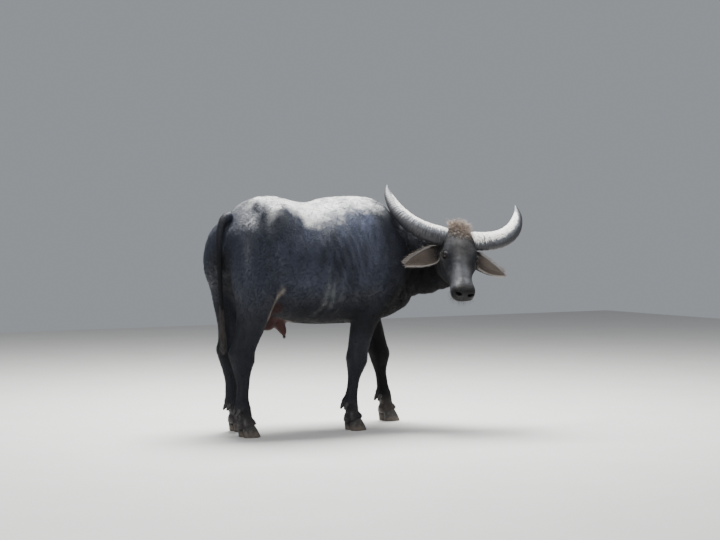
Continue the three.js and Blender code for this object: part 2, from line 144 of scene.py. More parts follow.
def bell(distance):
    """The bell curve exp(-d^2 / 2): 1 in the middle, fading out past two widths."""
    return np.exp(-0.5 * distance**2)


def between(a, b, share):
    """The value at a share of the way from a to b."""
    return a + (b - a) * share


def mirrored(points):
    """Points with every Y made positive, so that a form written once lies on both sides."""
    return points * [1, 0, 1] + np.abs(points) * [0, 1, 0]


def unit(vectors):
    """Vectors divided by their lengths."""
    return vectors / np.maximum(np.linalg.norm(vectors, axis=-1, keepdims=True), 1e-12)


# %% Smooth curve through rows
def padded(rows):
    """Rows with their usual last columns, a squareness of 2.1 and no taper, where those are left out."""
    return [(*row, *(2.1, 0)[len(row) - 6 :]) for row in rows]


def along(rows, t):
    """Catmull-Rom curve through table rows at every t from 0 to 1: on each stretch between two rows, the
    cubic whose slope at a row is half the step from the row before to the row after."""
    rows = np.asarray(rows, float)
    last = len(rows) - 1
    place = np.clip(np.asarray(t, float), 0, 1) * last
    i = np.minimum(place.astype(int), last - 1)
    f = (place - i)[:, None]
    a, b, c, d = (rows[np.clip(i + k, 0, last)] for k in (-1, 0, 1, 2))
    slope_in, slope_out, rise = (c - a) / 2, (d - b) / 2, c - b
    cubic = slope_in + slope_out - 2 * rise
    return b + f * (slope_in + f * (3 * rise - 2 * slope_in - slope_out + f * cubic))


def rings(rows, count, points, side=(0, 1, 0), grow=0.0, level=None):
    """Rings round the curve of a table: in the plane across the curve, a point at angle q lies at
    sign(cos q)|cos q|^(2/s) half widths to the side and sign(sin q)|sin q|^(2/s) reaches up or down."""
    t = np.linspace(0, 1, count)
    table = along(rows, t)
    ahead = along(rows, np.minimum(t + 0.01, 1))[:, :3] - along(rows, np.maximum(t - 0.01, 0))[:, :3]
    axis = unit(ahead) if level is None else np.tile(level, (count, 1)).astype(float)
    side = np.asarray(side, float)
    sideways = unit(side - axis * (axis @ side)[:, None])
    over = np.cross(axis, sideways)
    angle = (np.arange(points) + 0.5) / points * 2 * np.pi
    square = 2 / table[:, 6, None]
    high = np.sign(np.sin(angle)) * np.abs(np.sin(angle)) ** square
    out = np.sign(np.cos(angle)) * np.abs(np.cos(angle)) ** square
    reach = np.where(high > 0, table[:, 4, None], table[:, 5, None]) + grow
    out = out * (table[:, 3, None] + grow) * (1 + table[:, 7, None] * high)
    ends = np.zeros(count)
    ends[0], ends[-1] = -grow, grow
    middle = table[:, :3] + axis * ends[:, None]
    return middle[:, None] + sideways[:, None] * out[..., None] + over[:, None] * (high * reach)[..., None]


# %% Faces of a tube, and a mesh from arrays
NO_TRIANGLES = np.zeros((0, 3), int)


def grid(rows, columns):
    """Row numbers and column numbers of a grid's places, one row after the other."""
    return (g.ravel() for g in np.meshgrid(np.arange(rows), np.arange(columns), indexing="ij"))


def tube(sections):
    """Vertices and faces of a closed tube through rings: quads between neighbouring rings, and a fan at each
    end."""
    count, points = sections.shape[:2]
    middle = np.stack([sections[0].mean(0), sections[-1].mean(0)])
    vertices = np.concatenate([sections.reshape(-1, 3), middle])
    i, j = grid(count - 1, points)
    k = (j + 1) % points
    quads = np.stack([i * points + j, i * points + k, (i + 1) * points + k, (i + 1) * points + j], 1)
    p = np.arange(points)
    q = (p + 1) % points
    first, second = count * points, count * points + 1
    start = np.stack([np.full(points, first), q, p], 1)
    end = np.stack([np.full(points, second), (count - 1) * points + p, (count - 1) * points + q], 1)
    return vertices, quads, np.concatenate([start, end])


def merged(parts):
    """Several (vertices, quads, triangles) as one, with the numbers of the later ones moved up."""
    starts = np.cumsum([0] + [len(v) for v, _, _ in parts])
    vertices = np.concatenate([v for v, _, _ in parts])
    quads = np.concatenate([q + s for (_, q, _), s in zip(parts, starts)]).astype(int)
    triangles = np.concatenate([t + s for (_, _, t), s in zip(parts, starts)]).astype(int)
    return vertices, quads, triangles


def make_mesh(name, vertices, quads, triangles):
    """A Blender object from arrays of vertices, quads and triangles."""
    mesh = bpy.data.meshes.new(name)
    loops = np.concatenate([np.ravel(quads), np.ravel(triangles)]).astype(np.int32)
    sizes = np.concatenate([np.full(len(quads), 4), np.full(len(triangles), 3)]).astype(np.int32)
    mesh.vertices.add(len(vertices))
    mesh.vertices.foreach_set("co", np.asarray(vertices, np.float32).ravel())
    mesh.loops.add(len(loops))
    mesh.loops.foreach_set("vertex_index", loops)
    mesh.polygons.add(len(sizes))
    mesh.polygons.foreach_set("loop_start", (np.cumsum(sizes) - sizes).astype(np.int32))
    mesh.polygons.foreach_set("loop_total", sizes)
    mesh.update(calc_edges=True)
    mesh.validate()
    mesh.shade_smooth()
    piece = bpy.data.objects.new(name, mesh)
    bpy.context.scene.collection.objects.link(piece)
    return piece


def add_to_object(piece, nodes=()):
    """A finished piece rides on the still body and stands for the solids that it covers."""
    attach(piece, "root")
    if nodes:
        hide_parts(*nodes)
    mesh = piece.data
    mesh.calc_loop_triangles()
    print(piece.name, len(mesh.loop_triangles), "triangles")


# %% [markdown]
# ## The forms of the flesh
# The rows below give the trunk, the bent neck, the head and the four legs in mid stride. Each leg's rows
# come from where its joints are, so one function makes both fore legs and another both hind legs.

# %% Rows of the trunk, neck, head and tail
TRUNK = padded([
    (-0.614, 0, 1.085, 0.09, 0.06, 0.095, 2.2),
    (-0.592, 0, 1.08, 0.155, 0.118, 0.155, 2.2),
    (-0.55, 0, 1.072, 0.198, 0.18, 0.215, 2.3),
    (-0.49, 0, 1.057, 0.236, 0.246, 0.275, 2.4, 0.03),
    (-0.405, 0, 1.04, 0.262, 0.308, 0.33, 2.5, 0.06),
    (-0.3, 0, 1.005, 0.288, 0.327, 0.345, 2.4, 0.02),
    (-0.17, 0, 0.96, 0.322, 0.354, 0.338, 2.3, -0.04),
    (-0.05, 0, 0.935, 0.34, 0.377, 0.328, 2.25, -0.06),
    (0.08, 0, 0.93, 0.332, 0.397, 0.326, 2.2, -0.08),
    (0.2, 0, 0.93, 0.305, 0.402, 0.326, 2.1, -0.1),
    (0.33, 0, 0.935, 0.274, 0.394, 0.325, 2.1, -0.08),
    (0.45, 0, 0.95, 0.238, 0.356, 0.305, 2.1, -0.04),
    (0.54, 0, 0.968, 0.196, 0.268, 0.255),
    (0.59, 0, 0.978, 0.145, 0.195, 0.175),
    (0.616, 0, 0.98, 0.075, 0.09, 0.085),
])
NECK = padded([
    (0.4, 0, 1.005, 0.175, 0.27, 0.295),
    (0.512, -0.016, 1.003, 0.158, 0.228, 0.268),
    (0.608, -0.078, 1.0, 0.136, 0.196, 0.245),
    (0.676, -0.166, 1.01, 0.118, 0.158, 0.232),
    (0.716, -0.252, 1.025, 0.104, 0.126, 0.208),
    (0.738, -0.328, 1.04, 0.092, 0.1, 0.172),
])
SKULL = padded([
    (-0.042, 0, -0.1, 0.062, 0.062, 0.07, 2.3, 0.1),
    (-0.018, 0, -0.103, 0.088, 0.1, 0.11, 2.5, 0.12),
    (0.03, 0, -0.105, 0.1, 0.118, 0.128, 2.6, 0.14),
    (0.09, 0, -0.108, 0.102, 0.12, 0.136, 2.6, 0.16),
    (0.15, 0, -0.11, 0.1, 0.116, 0.136, 2.6, 0.2),
    (0.2, 0, -0.104, 0.092, 0.104, 0.124, 2.5, 0.2),
    (0.258, 0, -0.092, 0.077, 0.086, 0.098, 2.4, 0.12),
    (0.318, 0, -0.082, 0.066, 0.072, 0.08, 2.3, 0.06),
    (0.374, 0, -0.075, 0.062, 0.062, 0.074, 2.4, 0.02),
    (0.416, 0, -0.072, 0.064, 0.06, 0.074, 2.5, 0.02),
    (0.45, 0, -0.072, 0.062, 0.054, 0.068, 2.6, 0.02),
    (0.471, 0, -0.074, 0.05, 0.042, 0.054, 2.5),
])
TAIL = padded([
    (-0.555, 0, 1.228, 0.026, 0.026, 0.026),
    (-0.592, -0.005, 1.207, 0.026, 0.024, 0.026),
    (-0.622, -0.018, 1.16, 0.022, 0.02, 0.022),
    (-0.641, -0.034, 1.09, 0.019, 0.017, 0.018),
    (-0.649, -0.047, 0.99, 0.015, 0.014, 0.014),
    (-0.648, -0.054, 0.87, 0.012, 0.012, 0.012),
    (-0.642, -0.057, 0.75, 0.01, 0.01, 0.01),
    (-0.637, -0.058, 0.66, 0.009, 0.009, 0.009),
    (-0.634, -0.058, 0.6, 0.006, 0.006, 0.006),
])
SCROTUM = padded([
    (-0.33, 0, 0.735, 0.04, 0.04, 0.04),
    (-0.328, 0, 0.69, 0.046, 0.042, 0.042),
    (-0.326, 0, 0.64, 0.056, 0.05, 0.048),
    (-0.324, 0, 0.6, 0.052, 0.044, 0.042),
    (-0.323, 0, 0.578, 0.028, 0.024, 0.024),
])
SHEATH = padded([
    (-0.3, 0, 0.665, 0.026, 0.026, 0.03),
    (-0.262, 0, 0.628, 0.03, 0.03, 0.034),
    (-0.23, 0, 0.592, 0.026, 0.03, 0.028),
    (-0.214, 0, 0.562, 0.018, 0.02, 0.019),
    (-0.208, 0, 0.54, 0.009, 0.01, 0.009),
])


# %% Rows of the legs
def foot(y, fetlock, hoof):
    """Rows of a foot, from the fetlock to the hair line over the claws."""
    return [
        (fetlock, y, 0.16, 0.042, 0.039, 0.044, 2.3),
        (between(fetlock, hoof, 0.5), y, 0.115, 0.039, 0.037, 0.038, 2.3),
        (hoof - 0.012, y, 0.080, 0.048, 0.045, 0.046, 2.6),
        (hoof - 0.006, y, 0.069, 0.059, 0.050, 0.052, 2.8),
        (hoof - 0.004, y, 0.061, 0.056, 0.047, 0.049, 2.8),
    ]


def fore_leg(shoulder, elbow, knee, fetlock, hoof):
    """Rows of a fore leg from where its joints are along X."""
    return [
        (shoulder - 0.05, 0.1, 1.19, 0.048, 0.055, 0.065),
        (shoulder - 0.01, 0.15, 1.085, 0.08, 0.105, 0.118),
        (shoulder, 0.172, 0.96, 0.094, 0.132, 0.15),
        (between(shoulder, elbow, 0.5), 0.188, 0.84, 0.096, 0.128, 0.14),
        (elbow + 0.012, 0.19, 0.735, 0.086, 0.098, 0.105),
        (between(elbow, knee, 0.4), 0.182, 0.64, 0.07, 0.082, 0.082),
        (between(elbow, knee, 0.7), 0.173, 0.54, 0.06, 0.068, 0.068),
        (between(knee, elbow, 0.08), 0.166, 0.45, 0.056, 0.059, 0.057, 2.3),
        (knee, 0.163, 0.4, 0.057, 0.06, 0.053, 2.5),
        (between(knee, fetlock, 0.15), 0.161, 0.355, 0.049, 0.048, 0.046, 2.4),
        (between(knee, fetlock, 0.4), 0.159, 0.29, 0.034, 0.033, 0.036, 2.2),
        (between(knee, fetlock, 0.75), 0.158, 0.215, 0.034, 0.033, 0.036, 2.2),
        *foot(0.157, fetlock, hoof),
    ]


def hind_leg(stifle, hock, fetlock, hoof):
    """Rows of a hind leg from where its joints are along X."""
    return [
        (-0.435, 0.095, 1.195, 0.06, 0.065, 0.08),
        (-0.462, 0.138, 1.095, 0.1, 0.13, 0.138, 2.2),
        (-0.485, 0.156, 0.97, 0.112, 0.158, 0.144, 2.2),
        (stifle, 0.162, 0.85, 0.112, 0.145, 0.128, 2.2),
        (stifle - 0.003, 0.16, 0.745, 0.098, 0.115, 0.104),
        (between(stifle, hock, 0.22), 0.155, 0.645, 0.08, 0.09, 0.084),
        (between(stifle, hock, 0.6), 0.15, 0.555, 0.064, 0.074, 0.074),
        (between(stifle, hock, 0.92), 0.147, 0.48, 0.057, 0.068, 0.072, 2.3),
        (hock, 0.146, 0.425, 0.056, 0.07, 0.066, 2.5),
        (hock + 0.002, 0.145, 0.37, 0.048, 0.052, 0.05, 2.4),
        (hock + 0.008, 0.145, 0.295, 0.036, 0.035, 0.038, 2.2),
        (between(hock, fetlock, 0.5), 0.145, 0.22, 0.035, 0.034, 0.038, 2.2),
        *foot(0.145, fetlock, hoof),
    ]


LEGS = {
    "foreleg_right": (-1, fore_leg(0.395, 0.25, 0.172, 0.138, 0.16)),
    "foreleg_left": (1, fore_leg(0.445, 0.405, 0.532, 0.566, 0.592)),
    "hindleg_right": (-1, hind_leg(-0.492, -0.562, -0.552, -0.527)),
    "hindleg_left": (1, hind_leg(-0.462, -0.48, -0.458, -0.43)),
}
LEGS = {
    name: (side, padded([(x, side * y, *rest) for x, y, *rest in rows]))
    for name, (side, rows) in LEGS.items()
}
SIDES = ((-1, "right"), (1, "left"))
print(len(LEGS), "legs of", len(LEGS["foreleg_right"][1]), "rows")

# %% [markdown]
# ## One hide from many forms
# The forms pass into each other, and a real animal has one skin. Blender's voxel Remesh turns any pile of
# closed shapes into one closed surface, which is then smoothed so that the shoulders and thighs melt into
# the trunk. Its cells are all one size, so the head, which needs more detail, is divided further after it.

# %% Join the forms
SKIN_DEPTH = 0.003  # the hide lies inside the solids by the depth of the coat
CELL = 0.0128
forms = [tube(rings(TRUNK, 90, 64, grow=-SKIN_DEPTH)), tube(rings(NECK, 40, 48, grow=-SKIN_DEPTH))]
forms += [tube(rings(rows, 90, 32, grow=-SKIN_DEPTH / 2)) for _, rows in LEGS.values()]
forms += [tube(rings(SCROTUM, 24, 24)), tube(rings(SHEATH, 24, 20))]
skull = tube(rings(SKULL, 60, 48, grow=-SKIN_DEPTH / 2))
forms.append((from_head(skull[0]), *skull[1:]))
raw = make_mesh("raw_hide", *merged(forms))
remesh = raw.modifiers.new("join", "REMESH")
remesh.mode = "VOXEL"
remesh.voxel_size = CELL
graph = bpy.context.evaluated_depsgraph_get()
hide = bpy.data.meshes.new_from_object(raw.evaluated_get(graph))
bpy.data.objects.remove(raw)
print("joined hide:", len(hide.vertices), "vertices")


# %% [markdown]
# ## Smoothing and finer cells
# A vertex moved towards the mean of its neighbours smooths a surface, but it also shrinks it. Moving it back
# by a little more right after keeps the size, and only the sharp creases go. The trunk takes many rounds and
# the slim feet few.

# %% Smoothing on whole arrays
def read_mesh(mesh):
    """Vertex places and edges of a mesh as arrays."""
    places = np.empty(len(mesh.vertices) * 3)
    mesh.vertices.foreach_get("co", places)
    edges = np.empty(len(mesh.edges) * 2, np.int32)
    mesh.edges.foreach_get("vertices", edges)
    return places.reshape(-1, 3), edges.reshape(-1, 2)


def mean_step(places, edges):
    """For every vertex, the way to the mean of its neighbours."""
    count, total = len(places), np.zeros_like(places)
    number = np.bincount(edges.ravel(), minlength=count)
    for axis in range(3):
        total[:, axis] = np.bincount(edges[:, 0], places[edges[:, 1], axis], count)
        total[:, axis] += np.bincount(edges[:, 1], places[edges[:, 0], axis], count)
    return total / np.maximum(number, 1)[:, None] - places


def smoothed(places, edges, rounds, weight, back=0.53):
    """Rounds of a step half way to the neighbours' mean and one back, slightly longer if nothing else is
    said, both times a weight."""
    for _ in range(rounds):
        places = places + 0.5 * weight * mean_step(places, edges)
        places = places - back * weight * mean_step(places, edges)
    return places


places, edges = read_mesh(hide)
on_head = ramp(to_head(places)[:, 0], -0.06, 0.02)
on_head = on_head * ramp(np.linalg.norm(places - from_head(HEAD_MIDDLE), axis=1), 0.34, 0.26)
trunk_weight = (ramp(places[:, 2], 0.5, 0.72) * (1 - on_head))[:, None]
trunk_weight = trunk_weight * ramp(places[:, :1], -0.635, -0.6)
places = smoothed(places, edges, 8, 1.0)
places = smoothed(places, edges, 30, trunk_weight, back=0.5)
hide.vertices.foreach_set("co", places.ravel())
print("smoothed; on the head", int(on_head.sum()), "vertices")


# %% Finer cells on the head
def divide(mesh, chosen):
    """Every face whose vertices are all chosen is cut into four."""
    work = bmesh.new()
    work.from_mesh(mesh)
    work.verts.ensure_lookup_table()
    edges = [e for e in work.edges if chosen[e.verts[0].index] and chosen[e.verts[1].index]]
    bmesh.ops.subdivide_edges(work, edges=edges, cuts=1, use_grid_fill=True)
    work.to_mesh(mesh)
    work.free()


def near(points, middle, radii):
    """Distance from a middle, in radii: below 1 inside the egg."""
    return np.linalg.norm((points - middle) / radii, axis=1)


def off_head(head):
    """Distance from the middle of the head in the head's own radii, for points of its frame."""
    return near(head, HEAD_MIDDLE, [0.33, 0.2, 0.24])


def zones(places, level):
    """Which vertices belong to a level of detail: 0 is the head, 1 adds the lower legs and the sheath, 2 is
    round the eyes and the muzzle, 3 the nostrils."""
    points = to_head(places)
    both = mirrored(points)
    if level == 0:
        return near(points, HEAD_MIDDLE, [0.32, 0.16, 0.2]) < 1
    if level == 1:
        low = (places[:, 2] < 0.5) | (near(places, [-0.28, 0, 0.6], [0.12, 0.1, 0.13]) < 1)
        return zones(places, 0) | low
    if level == 2:
        on_muzzle = (points[:, 0] > 0.33) & (near(points, [0.4, 0, -0.09], 0.12) < 1)
        return (near(both, [0.2, 0.07, -0.05], [0.075, 0.05, 0.06]) < 1) | on_muzzle
    return near(both, [0.43, 0.035, -0.06], [0.05, 0.05, 0.075]) < 1


for level in (1, 2, 3):
    places, _ = read_mesh(hide)
    divide(hide, zones(places, level))
places, edges = read_mesh(hide)
places = smoothed(places, edges, 10, zones(places, 1)[:, None] * 1.0)
hide.vertices.foreach_set("co", places.ravel())
hide.update()
print("after dividing:", len(hide.vertices), "vertices")


# %% [markdown]
# ## Muscle, bone and folds
# Sculpting by formula: every form is a soft hill or hollow, a height that falls off smoothly from a point, a
# line or a wave. All heights are added up for all vertices at once, and each vertex moves along its normal.
# A mirrored form is written once and lies on both sides.

# %% Hills, ridges and creases
def normals(mesh):
    """Vertex normals of a mesh as an array."""
    mesh.update()
    found = np.empty(len(mesh.vertices) * 3, np.float32)
    mesh.vertex_normals.foreach_get("vector", found)
    return found.reshape(-1, 3).astype(float)


def hill(points, middle, radii, height):
    """A height times exp(-d^2 / 2), where d is the distance from the middle in radii."""
    return height * bell(near(points, middle, radii))


def ridge(points, start, end, radius, height):
    """A height times exp(-d^2 / 2), where d is the distance from the nearest point of a line, in radii."""
    start, end = np.asarray(start, float), np.asarray(end, float)
    way = end - start
    t = np.clip((points - start) @ way / (way @ way), 0, 1)
    distance = np.linalg.norm(points - start - t[:, None] * way, axis=1)
    return height * bell(distance / radius)


def path_place(points, rows, count=120):
    """Share of the way along a table's curve at the curve's nearest point, and the distance to it."""
    t = np.linspace(0, 1, count)
    curve = along(rows, t)[:, :3]
    distance = np.linalg.norm(points[:, None] - curve[None], axis=2)
    nearest = distance.argmin(1)
    return t[nearest], distance.min(1), curve[nearest]


def ripple(phase, sharp):
    """Rounded rolls with narrow creases between them: 1 on a roll, and 0 in a crease once for each unit."""
    return np.abs(np.sin(np.pi * phase)) ** sharp


# %% Sculpt the trunk
places, edges = read_mesh(hide)
direction = normals(hide)
x, y, z = places.T
both = mirrored(places)
trunk_part = ramp(z, 0.55, 0.7) * ramp(x, 0.66, 0.58)
vertebrae = np.sin(2 * np.pi * x / 0.055)
height = trunk_part * ridge(both, (-0.4, 0, 1.32), (0.1, 0, 1.34), 0.018, 0.002) * vertebrae
height += hill(both, (0.42, 0, 1.3), (0.07, 0.1, 0.06), 0.014)
for middle, radii, rise in (
    ((-0.375, 0.205, 1.235), (0.05, 0.045, 0.045), 0.024),  # hip bone
    ((-0.255, 0.27, 1.15), (0.085, 0.07, 0.06), -0.024),  # hollow of the flank
    ((-0.47, 0.1, 1.26), (0.1, 0.06, 0.04), -0.008),  # croup beside the spine
    ((-0.6, 0.1, 1.13), (0.04, 0.035, 0.04), 0.016),  # pin bone
    ((-0.585, 0.0, 1.1), (0.05, 0.03, 0.09), -0.02),  # hollow under the tail
    ((-0.355, 0.24, 0.8), (0.05, 0.04, 0.055), 0.012),  # stifle
    ((0.315, 0.25, 0.93), (0.08, 0.06, 0.09), 0.014),  # muscle behind the shoulder
    ((0.235, 0.27, 1.05), (0.04, 0.06, 0.12), -0.01),  # hollow behind the shoulder
    ((0.52, 0.17, 0.96), (0.05, 0.05, 0.06), 0.014),  # point of the shoulder
    ((0.36, 0.17, 1.24), (0.06, 0.05, 0.05), 0.01),  # top of the shoulder blade
    ((0.0, 0.3, 0.74), (0.2, 0.09, 0.06), 0.012),  # belly
    ((-0.475, 0, 1.31), (0.045, 0.12, 0.05), 0.010),  # top of the croup
    ((-0.36, 0, 1.33), (0.05, 0.12, 0.05), -0.006),  # dip of the loins
):
    height += trunk_part * hill(both, middle, radii, rise)
for start, end, radius, rise in (
    ((-0.42, 0, 1.33), (0.42, 0, 1.33), 0.02, 0.007),  # spine
    ((0.36, 0.13, 1.26), (0.46, 0.23, 0.98), 0.02, 0.009),  # spine of the shoulder blade
    ((0.43, 0.15, 1.2), (0.52, 0.2, 0.98), 0.022, -0.008),  # hollow before it
    ((0.29, 0.18, 1.22), (0.37, 0.27, 1.0), 0.024, -0.007),  # hollow behind it
    ((-0.5, 0.25, 1.08), (-0.535, 0.25, 0.8), 0.014, -0.009),  # groove of the thigh
    ((-0.4, 0.27, 1.16), (-0.33, 0.28, 0.84), 0.03, 0.007),  # front edge of the thigh
    ((-0.36, 0.25, 0.82), (-0.2, 0.29, 0.67), 0.018, 0.02),  # fold of the flank
):
    height += trunk_part * ridge(both, start, end, radius, rise)
rib = (x + 0.35 * (z - 0.95)) / 0.052
ribbed = span(x, -0.25, -0.1, 0.16, 0.26) * span(z, 0.72, 0.82, 1.08, 1.2)
height += ribbed * 0.0022 * np.sin(2 * np.pi * rib)
print("trunk: heights from", round(height.min() * 1000, 1), "to", round(height.max() * 1000, 1), "mm")

# %% Sculpt the neck
t_neck, from_neck, neck_line = path_place(places, NECK)
outward = places - neck_line
inner_side = ramp(outward @ unit(np.array([0.55, 0.84, 0.0])), 0.02, -0.07)
on_neck = span(t_neck, 0.1, 0.3, 0.93, 1.0) * ramp(x, 0.42, 0.5) * ramp(from_neck, 0.34, 0.28)
wobble = 0.06 * np.sin(9 * z + 2) + 0.04 * np.sin(23 * z)
folds = ripple(t_neck * 7.5 + 4 * wobble, 0.55) - 0.75
height += on_neck * inner_side * 0.017 * folds
throat = ramp(outward[:, 2], -0.02, -0.14)
height += on_neck * throat * 0.012 * (ripple(t_neck * 6 + 3 * wobble + 0.3, 0.6) - 0.7)
print("neck: heights from", round(height.min() * 1000, 1), "to", round(height.max() * 1000, 1), "mm")

# %% Sculpt the legs
KNEE_ROW, FETLOCK_ROW = 8, 12  # in both tables; the hock is the hind leg's knee here
for name, (side, rows) in LEGS.items():
    on_side = y * side > 0
    line = along(rows, np.linspace(0, 1, 100))
    mine = on_side * ramp(z, 0.66, 0.6) * (np.abs(x - np.interp(-z, -line[:, 2], line[:, 0])) < 0.13)
    knee, (fetlock, y_leg) = rows[KNEE_ROW][0], rows[FETLOCK_ROW][:2]
    dents = [
        ((fetlock - 0.04, y_leg, 0.165), (0.022, 0.034, 0.020), 0.010),  # pad behind the fetlock
        ((fetlock - 0.044, y_leg, 0.15), (0.02, 0.006, 0.03), -0.006),  # cleft in it
    ]
    grooves = []
    for flank in (-1, 1):
        dents.append(((fetlock, y_leg + flank * 0.04, 0.165), (0.02, 0.015, 0.018), 0.005))
        top, foot_end = between(knee, fetlock, 0.2) - 0.008, fetlock - 0.008
        beside = y_leg + flank * 0.034
        grooves.append(((top, beside, 0.33), (foot_end, beside, 0.19), 0.007, -0.004))
    if name.startswith("fore"):
        dents += [
            ((knee + 0.045, y_leg, 0.405), (0.02, 0.035, 0.03), 0.006),  # front of the knee
            ((knee - 0.045, y_leg, 0.42), (0.02, 0.03, 0.02), 0.006),  # bone behind the knee
        ]
        elbow = rows[4][0]
        height += on_side * hill(places, (elbow - 0.09, side * 0.2, 0.79), (0.035, 0.04, 0.035), 0.014)
        front_end = (knee, side * 0.2, 0.5)
        height += on_side * ridge(places, (elbow - 0.02, side * 0.25, 0.72), front_end, 0.016, -0.006)
    else:
        dents += [
            ((knee - 0.07, y_leg, 0.47), (0.02, 0.025, 0.026), 0.014),  # point of the hock
            ((knee + 0.05, y_leg, 0.44), (0.02, 0.03, 0.03), 0.004),  # front of the hock
        ]
        for beside in (y_leg - 0.045, y_leg + 0.045):
            grooves.append(((knee - 0.028, beside, 0.6), (knee - 0.034, beside, 0.5), 0.014, -0.014))
    for middle, radii, rise in dents:
        height += mine * hill(places, middle, radii, rise)
    for start, end, radius, rise in grooves:
        height += mine * ridge(places, start, end, radius, rise)
    height -= mine * 0.002 * bell((z - 0.105 - 0.1 * (x - fetlock)) / 0.008)
bag = ridge(places, (-0.326, 0, 0.68), (-0.324, 0, 0.575), 0.008, -0.006)
height += bag * (z < 0.69)
print("legs done")

# %% Sculpt the head
head = to_head(places)
face = mirrored(head)
head_part = zones(places, 0) * ramp(head[:, 0], -0.05, 0.02)
for middle, radii, rise in (
    ((0.172, 0.082, -0.012), (0.036, 0.02, 0.014), 0.012),  # brow over the eye
    ((0.192, 0.096, -0.045), (0.032, 0.024, 0.030), 0.009),  # rim of the eye socket
    ((0.105, 0.095, -0.06), (0.03, 0.02, 0.025), -0.009),  # hollow behind the brow
    ((0.21, 0.09, -0.085), (0.03, 0.02, 0.016), 0.005),  # cheekbone
    ((0.285, 0.06, -0.055), (0.05, 0.018, 0.022), -0.007),  # hollow beside the nose
    ((0.17, 0.09, -0.15), (0.06, 0.035, 0.05), 0.016),  # muscle of the jaw
    ((0.3, 0.05, -0.14), (0.05, 0.03, 0.02), -0.008),  # narrow part of the lower jaw
    ((0.437, 0.04, -0.046), (0.022, 0.018, 0.018), 0.009),  # wing of the nostril
    ((0.42, 0.055, -0.088), (0.03, 0.02, 0.018), 0.006),  # side of the upper lip
    ((0.424, 0.0, -0.142), (0.026, 0.034, 0.02), 0.008),  # chin
    ((0.365, 0.058, -0.116), (0.016, 0.016, 0.014), 0.005),  # corner of the mouth
    ((0.12, 0.0, 0.01), (0.06, 0.05, 0.03), 0.006),  # bulge of the forehead
    ((0.05, 0.098, -0.05), (0.035, 0.03, 0.035), 0.008),  # root of the horn
):
    height += head_part * hill(face, middle, radii, rise)
for start, end, radius, rise in (
    ((0.2, 0.092, -0.078), (0.29, 0.07, -0.09), 0.009, 0.005),  # edge of the cheek
    ((0.24, 0.03, 0.0), (0.4, 0.026, -0.015), 0.012, 0.003),  # edge of the nose bone
    ((0.44, 0, -0.03), (0.474, 0, -0.1), 0.004, -0.003),  # groove down the middle of the nose
):
    height += head_part * ridge(face, start, end, radius, rise)
wrinkled = ridge(face, (0.3, 0.062, -0.05), (0.31, 0.062, -0.12), 0.02, 0.002)
height += head_part * wrinkled * np.sin(face[:, 2] * 500)
places = places + direction * height[:, None]
hide.vertices.foreach_set("co", places.ravel())
print("head sculpted")

# %% Sockets, nostrils and mouth
def eye_frame(side):
    """Centre of an eye and its three directions in the head's frame: where it looks, its length, its
    height."""
    gaze = unit(np.array([0.26, side * 1.0, 0.16]))
    long = np.array([1.0, 0.0, 0.38])
    long = unit(long - gaze * (long @ gaze))
    high = np.cross(long, gaze) * side
    return EYE_PLACE * [1, side, 1], gaze, long, high


places, edges = read_mesh(hide)
head = to_head(places)
for side in (-1, 1):
    away = head - EYE_PLACE * [1, side, 1]
    distance = np.linalg.norm(away, axis=1, keepdims=True)
    ahead = (away @ eye_frame(side)[1])[:, None] / distance
    sunk = ramp(ahead, 0.20, 0.55) * ramp(distance, 0.036, 0.028)
    head = head - away / distance * 0.014 * sunk
places = from_head(head)
face = mirrored(head)
nostril = np.max([
    hill(face, (0.466, 0.031, -0.050), (0.014, 0.010, 0.0085), 1.0),
    hill(face, (0.462, 0.038, -0.0475), (0.014, 0.009, 0.0085), 1.0),
    hill(face, (0.457, 0.044, -0.048), (0.014, 0.008, 0.0065), 0.95),
    hill(face, (0.446, 0.053, -0.054), (0.013, 0.007, 0.0045), 0.85),
], axis=0)
nostril = ramp(nostril, 0.28, 0.7)
into_nose = np.stack([np.full(len(head), -0.8), -0.25 * np.sign(head[:, 1]), np.full(len(head), -0.35)], 1)
mouth_height = -0.104 - 0.10 * (0.44 - head[:, 0])
mouth = bell((head[:, 2] - mouth_height) / 0.0032)
mouth *= ramp(head[:, 0], 0.345, 0.36) * zones(places, 0)
head = head + 0.024 * nostril[:, None] * unit(into_nose)
inwards = unit(np.array([0.38, 0, -0.1]) - head)
head = head + 0.0065 * mouth[:, None] * inwards
lower_lip = ramp(head[:, 0], 0.4, 0.46) * ramp(mouth_height - head[:, 2], 0.002, 0.012)
head[:, 0] -= 0.012 * lower_lip * zones(places, 0)
places = smoothed(from_head(head), edges, 1, 0.6)
hide.vertices.foreach_set("co", places.ravel())
hide.update()
print("nostrils and mouth cut")

# %% [markdown]
# ## Lids
# The eyeball is a ball, and the lids are two soft rolls that lie on it with an almond gap between them. Here
# they are one ring swept round the gap: every profile starts just under the eyeball's surface at the rim,
# rolls over the wet edge, makes the fold of the upper lid, and sinks under the skin.

# %% Lids as a swept ring
HALF_LONG, HALF_HIGH = math.radians(50), math.radians(27)
LID_PROFILE = np.array([  # degrees out from the gap's rim, and millimetres over the eyeball
    (-3, -0.8), (-1.5, 0.8), (1.5, 2.1), (5, 2.8), (9, 2.9), (12.5, 2.1), (15, 1.7), (18, 2.6), (22, 3.7),
    (26, 4.1), (30, 4.0), (34, 4.3), (39, 4.4), (44, 4.0), (50, 3.9), (57, 3.5), (68, 3.0), (84, 2.4),
])


def facing_out(points, quads, centre):
    """The surface in the animal's frame, its faces turned so that they look away from a centre."""
    corner, right, _, left = (points[quads[:, k]] for k in range(4))
    outside = np.sum(np.cross(right - corner, left - corner) * (corner - centre))
    quads = quads if outside > 0 else quads[:, ::-1]
    return from_head(points), quads, NO_TRIANGLES


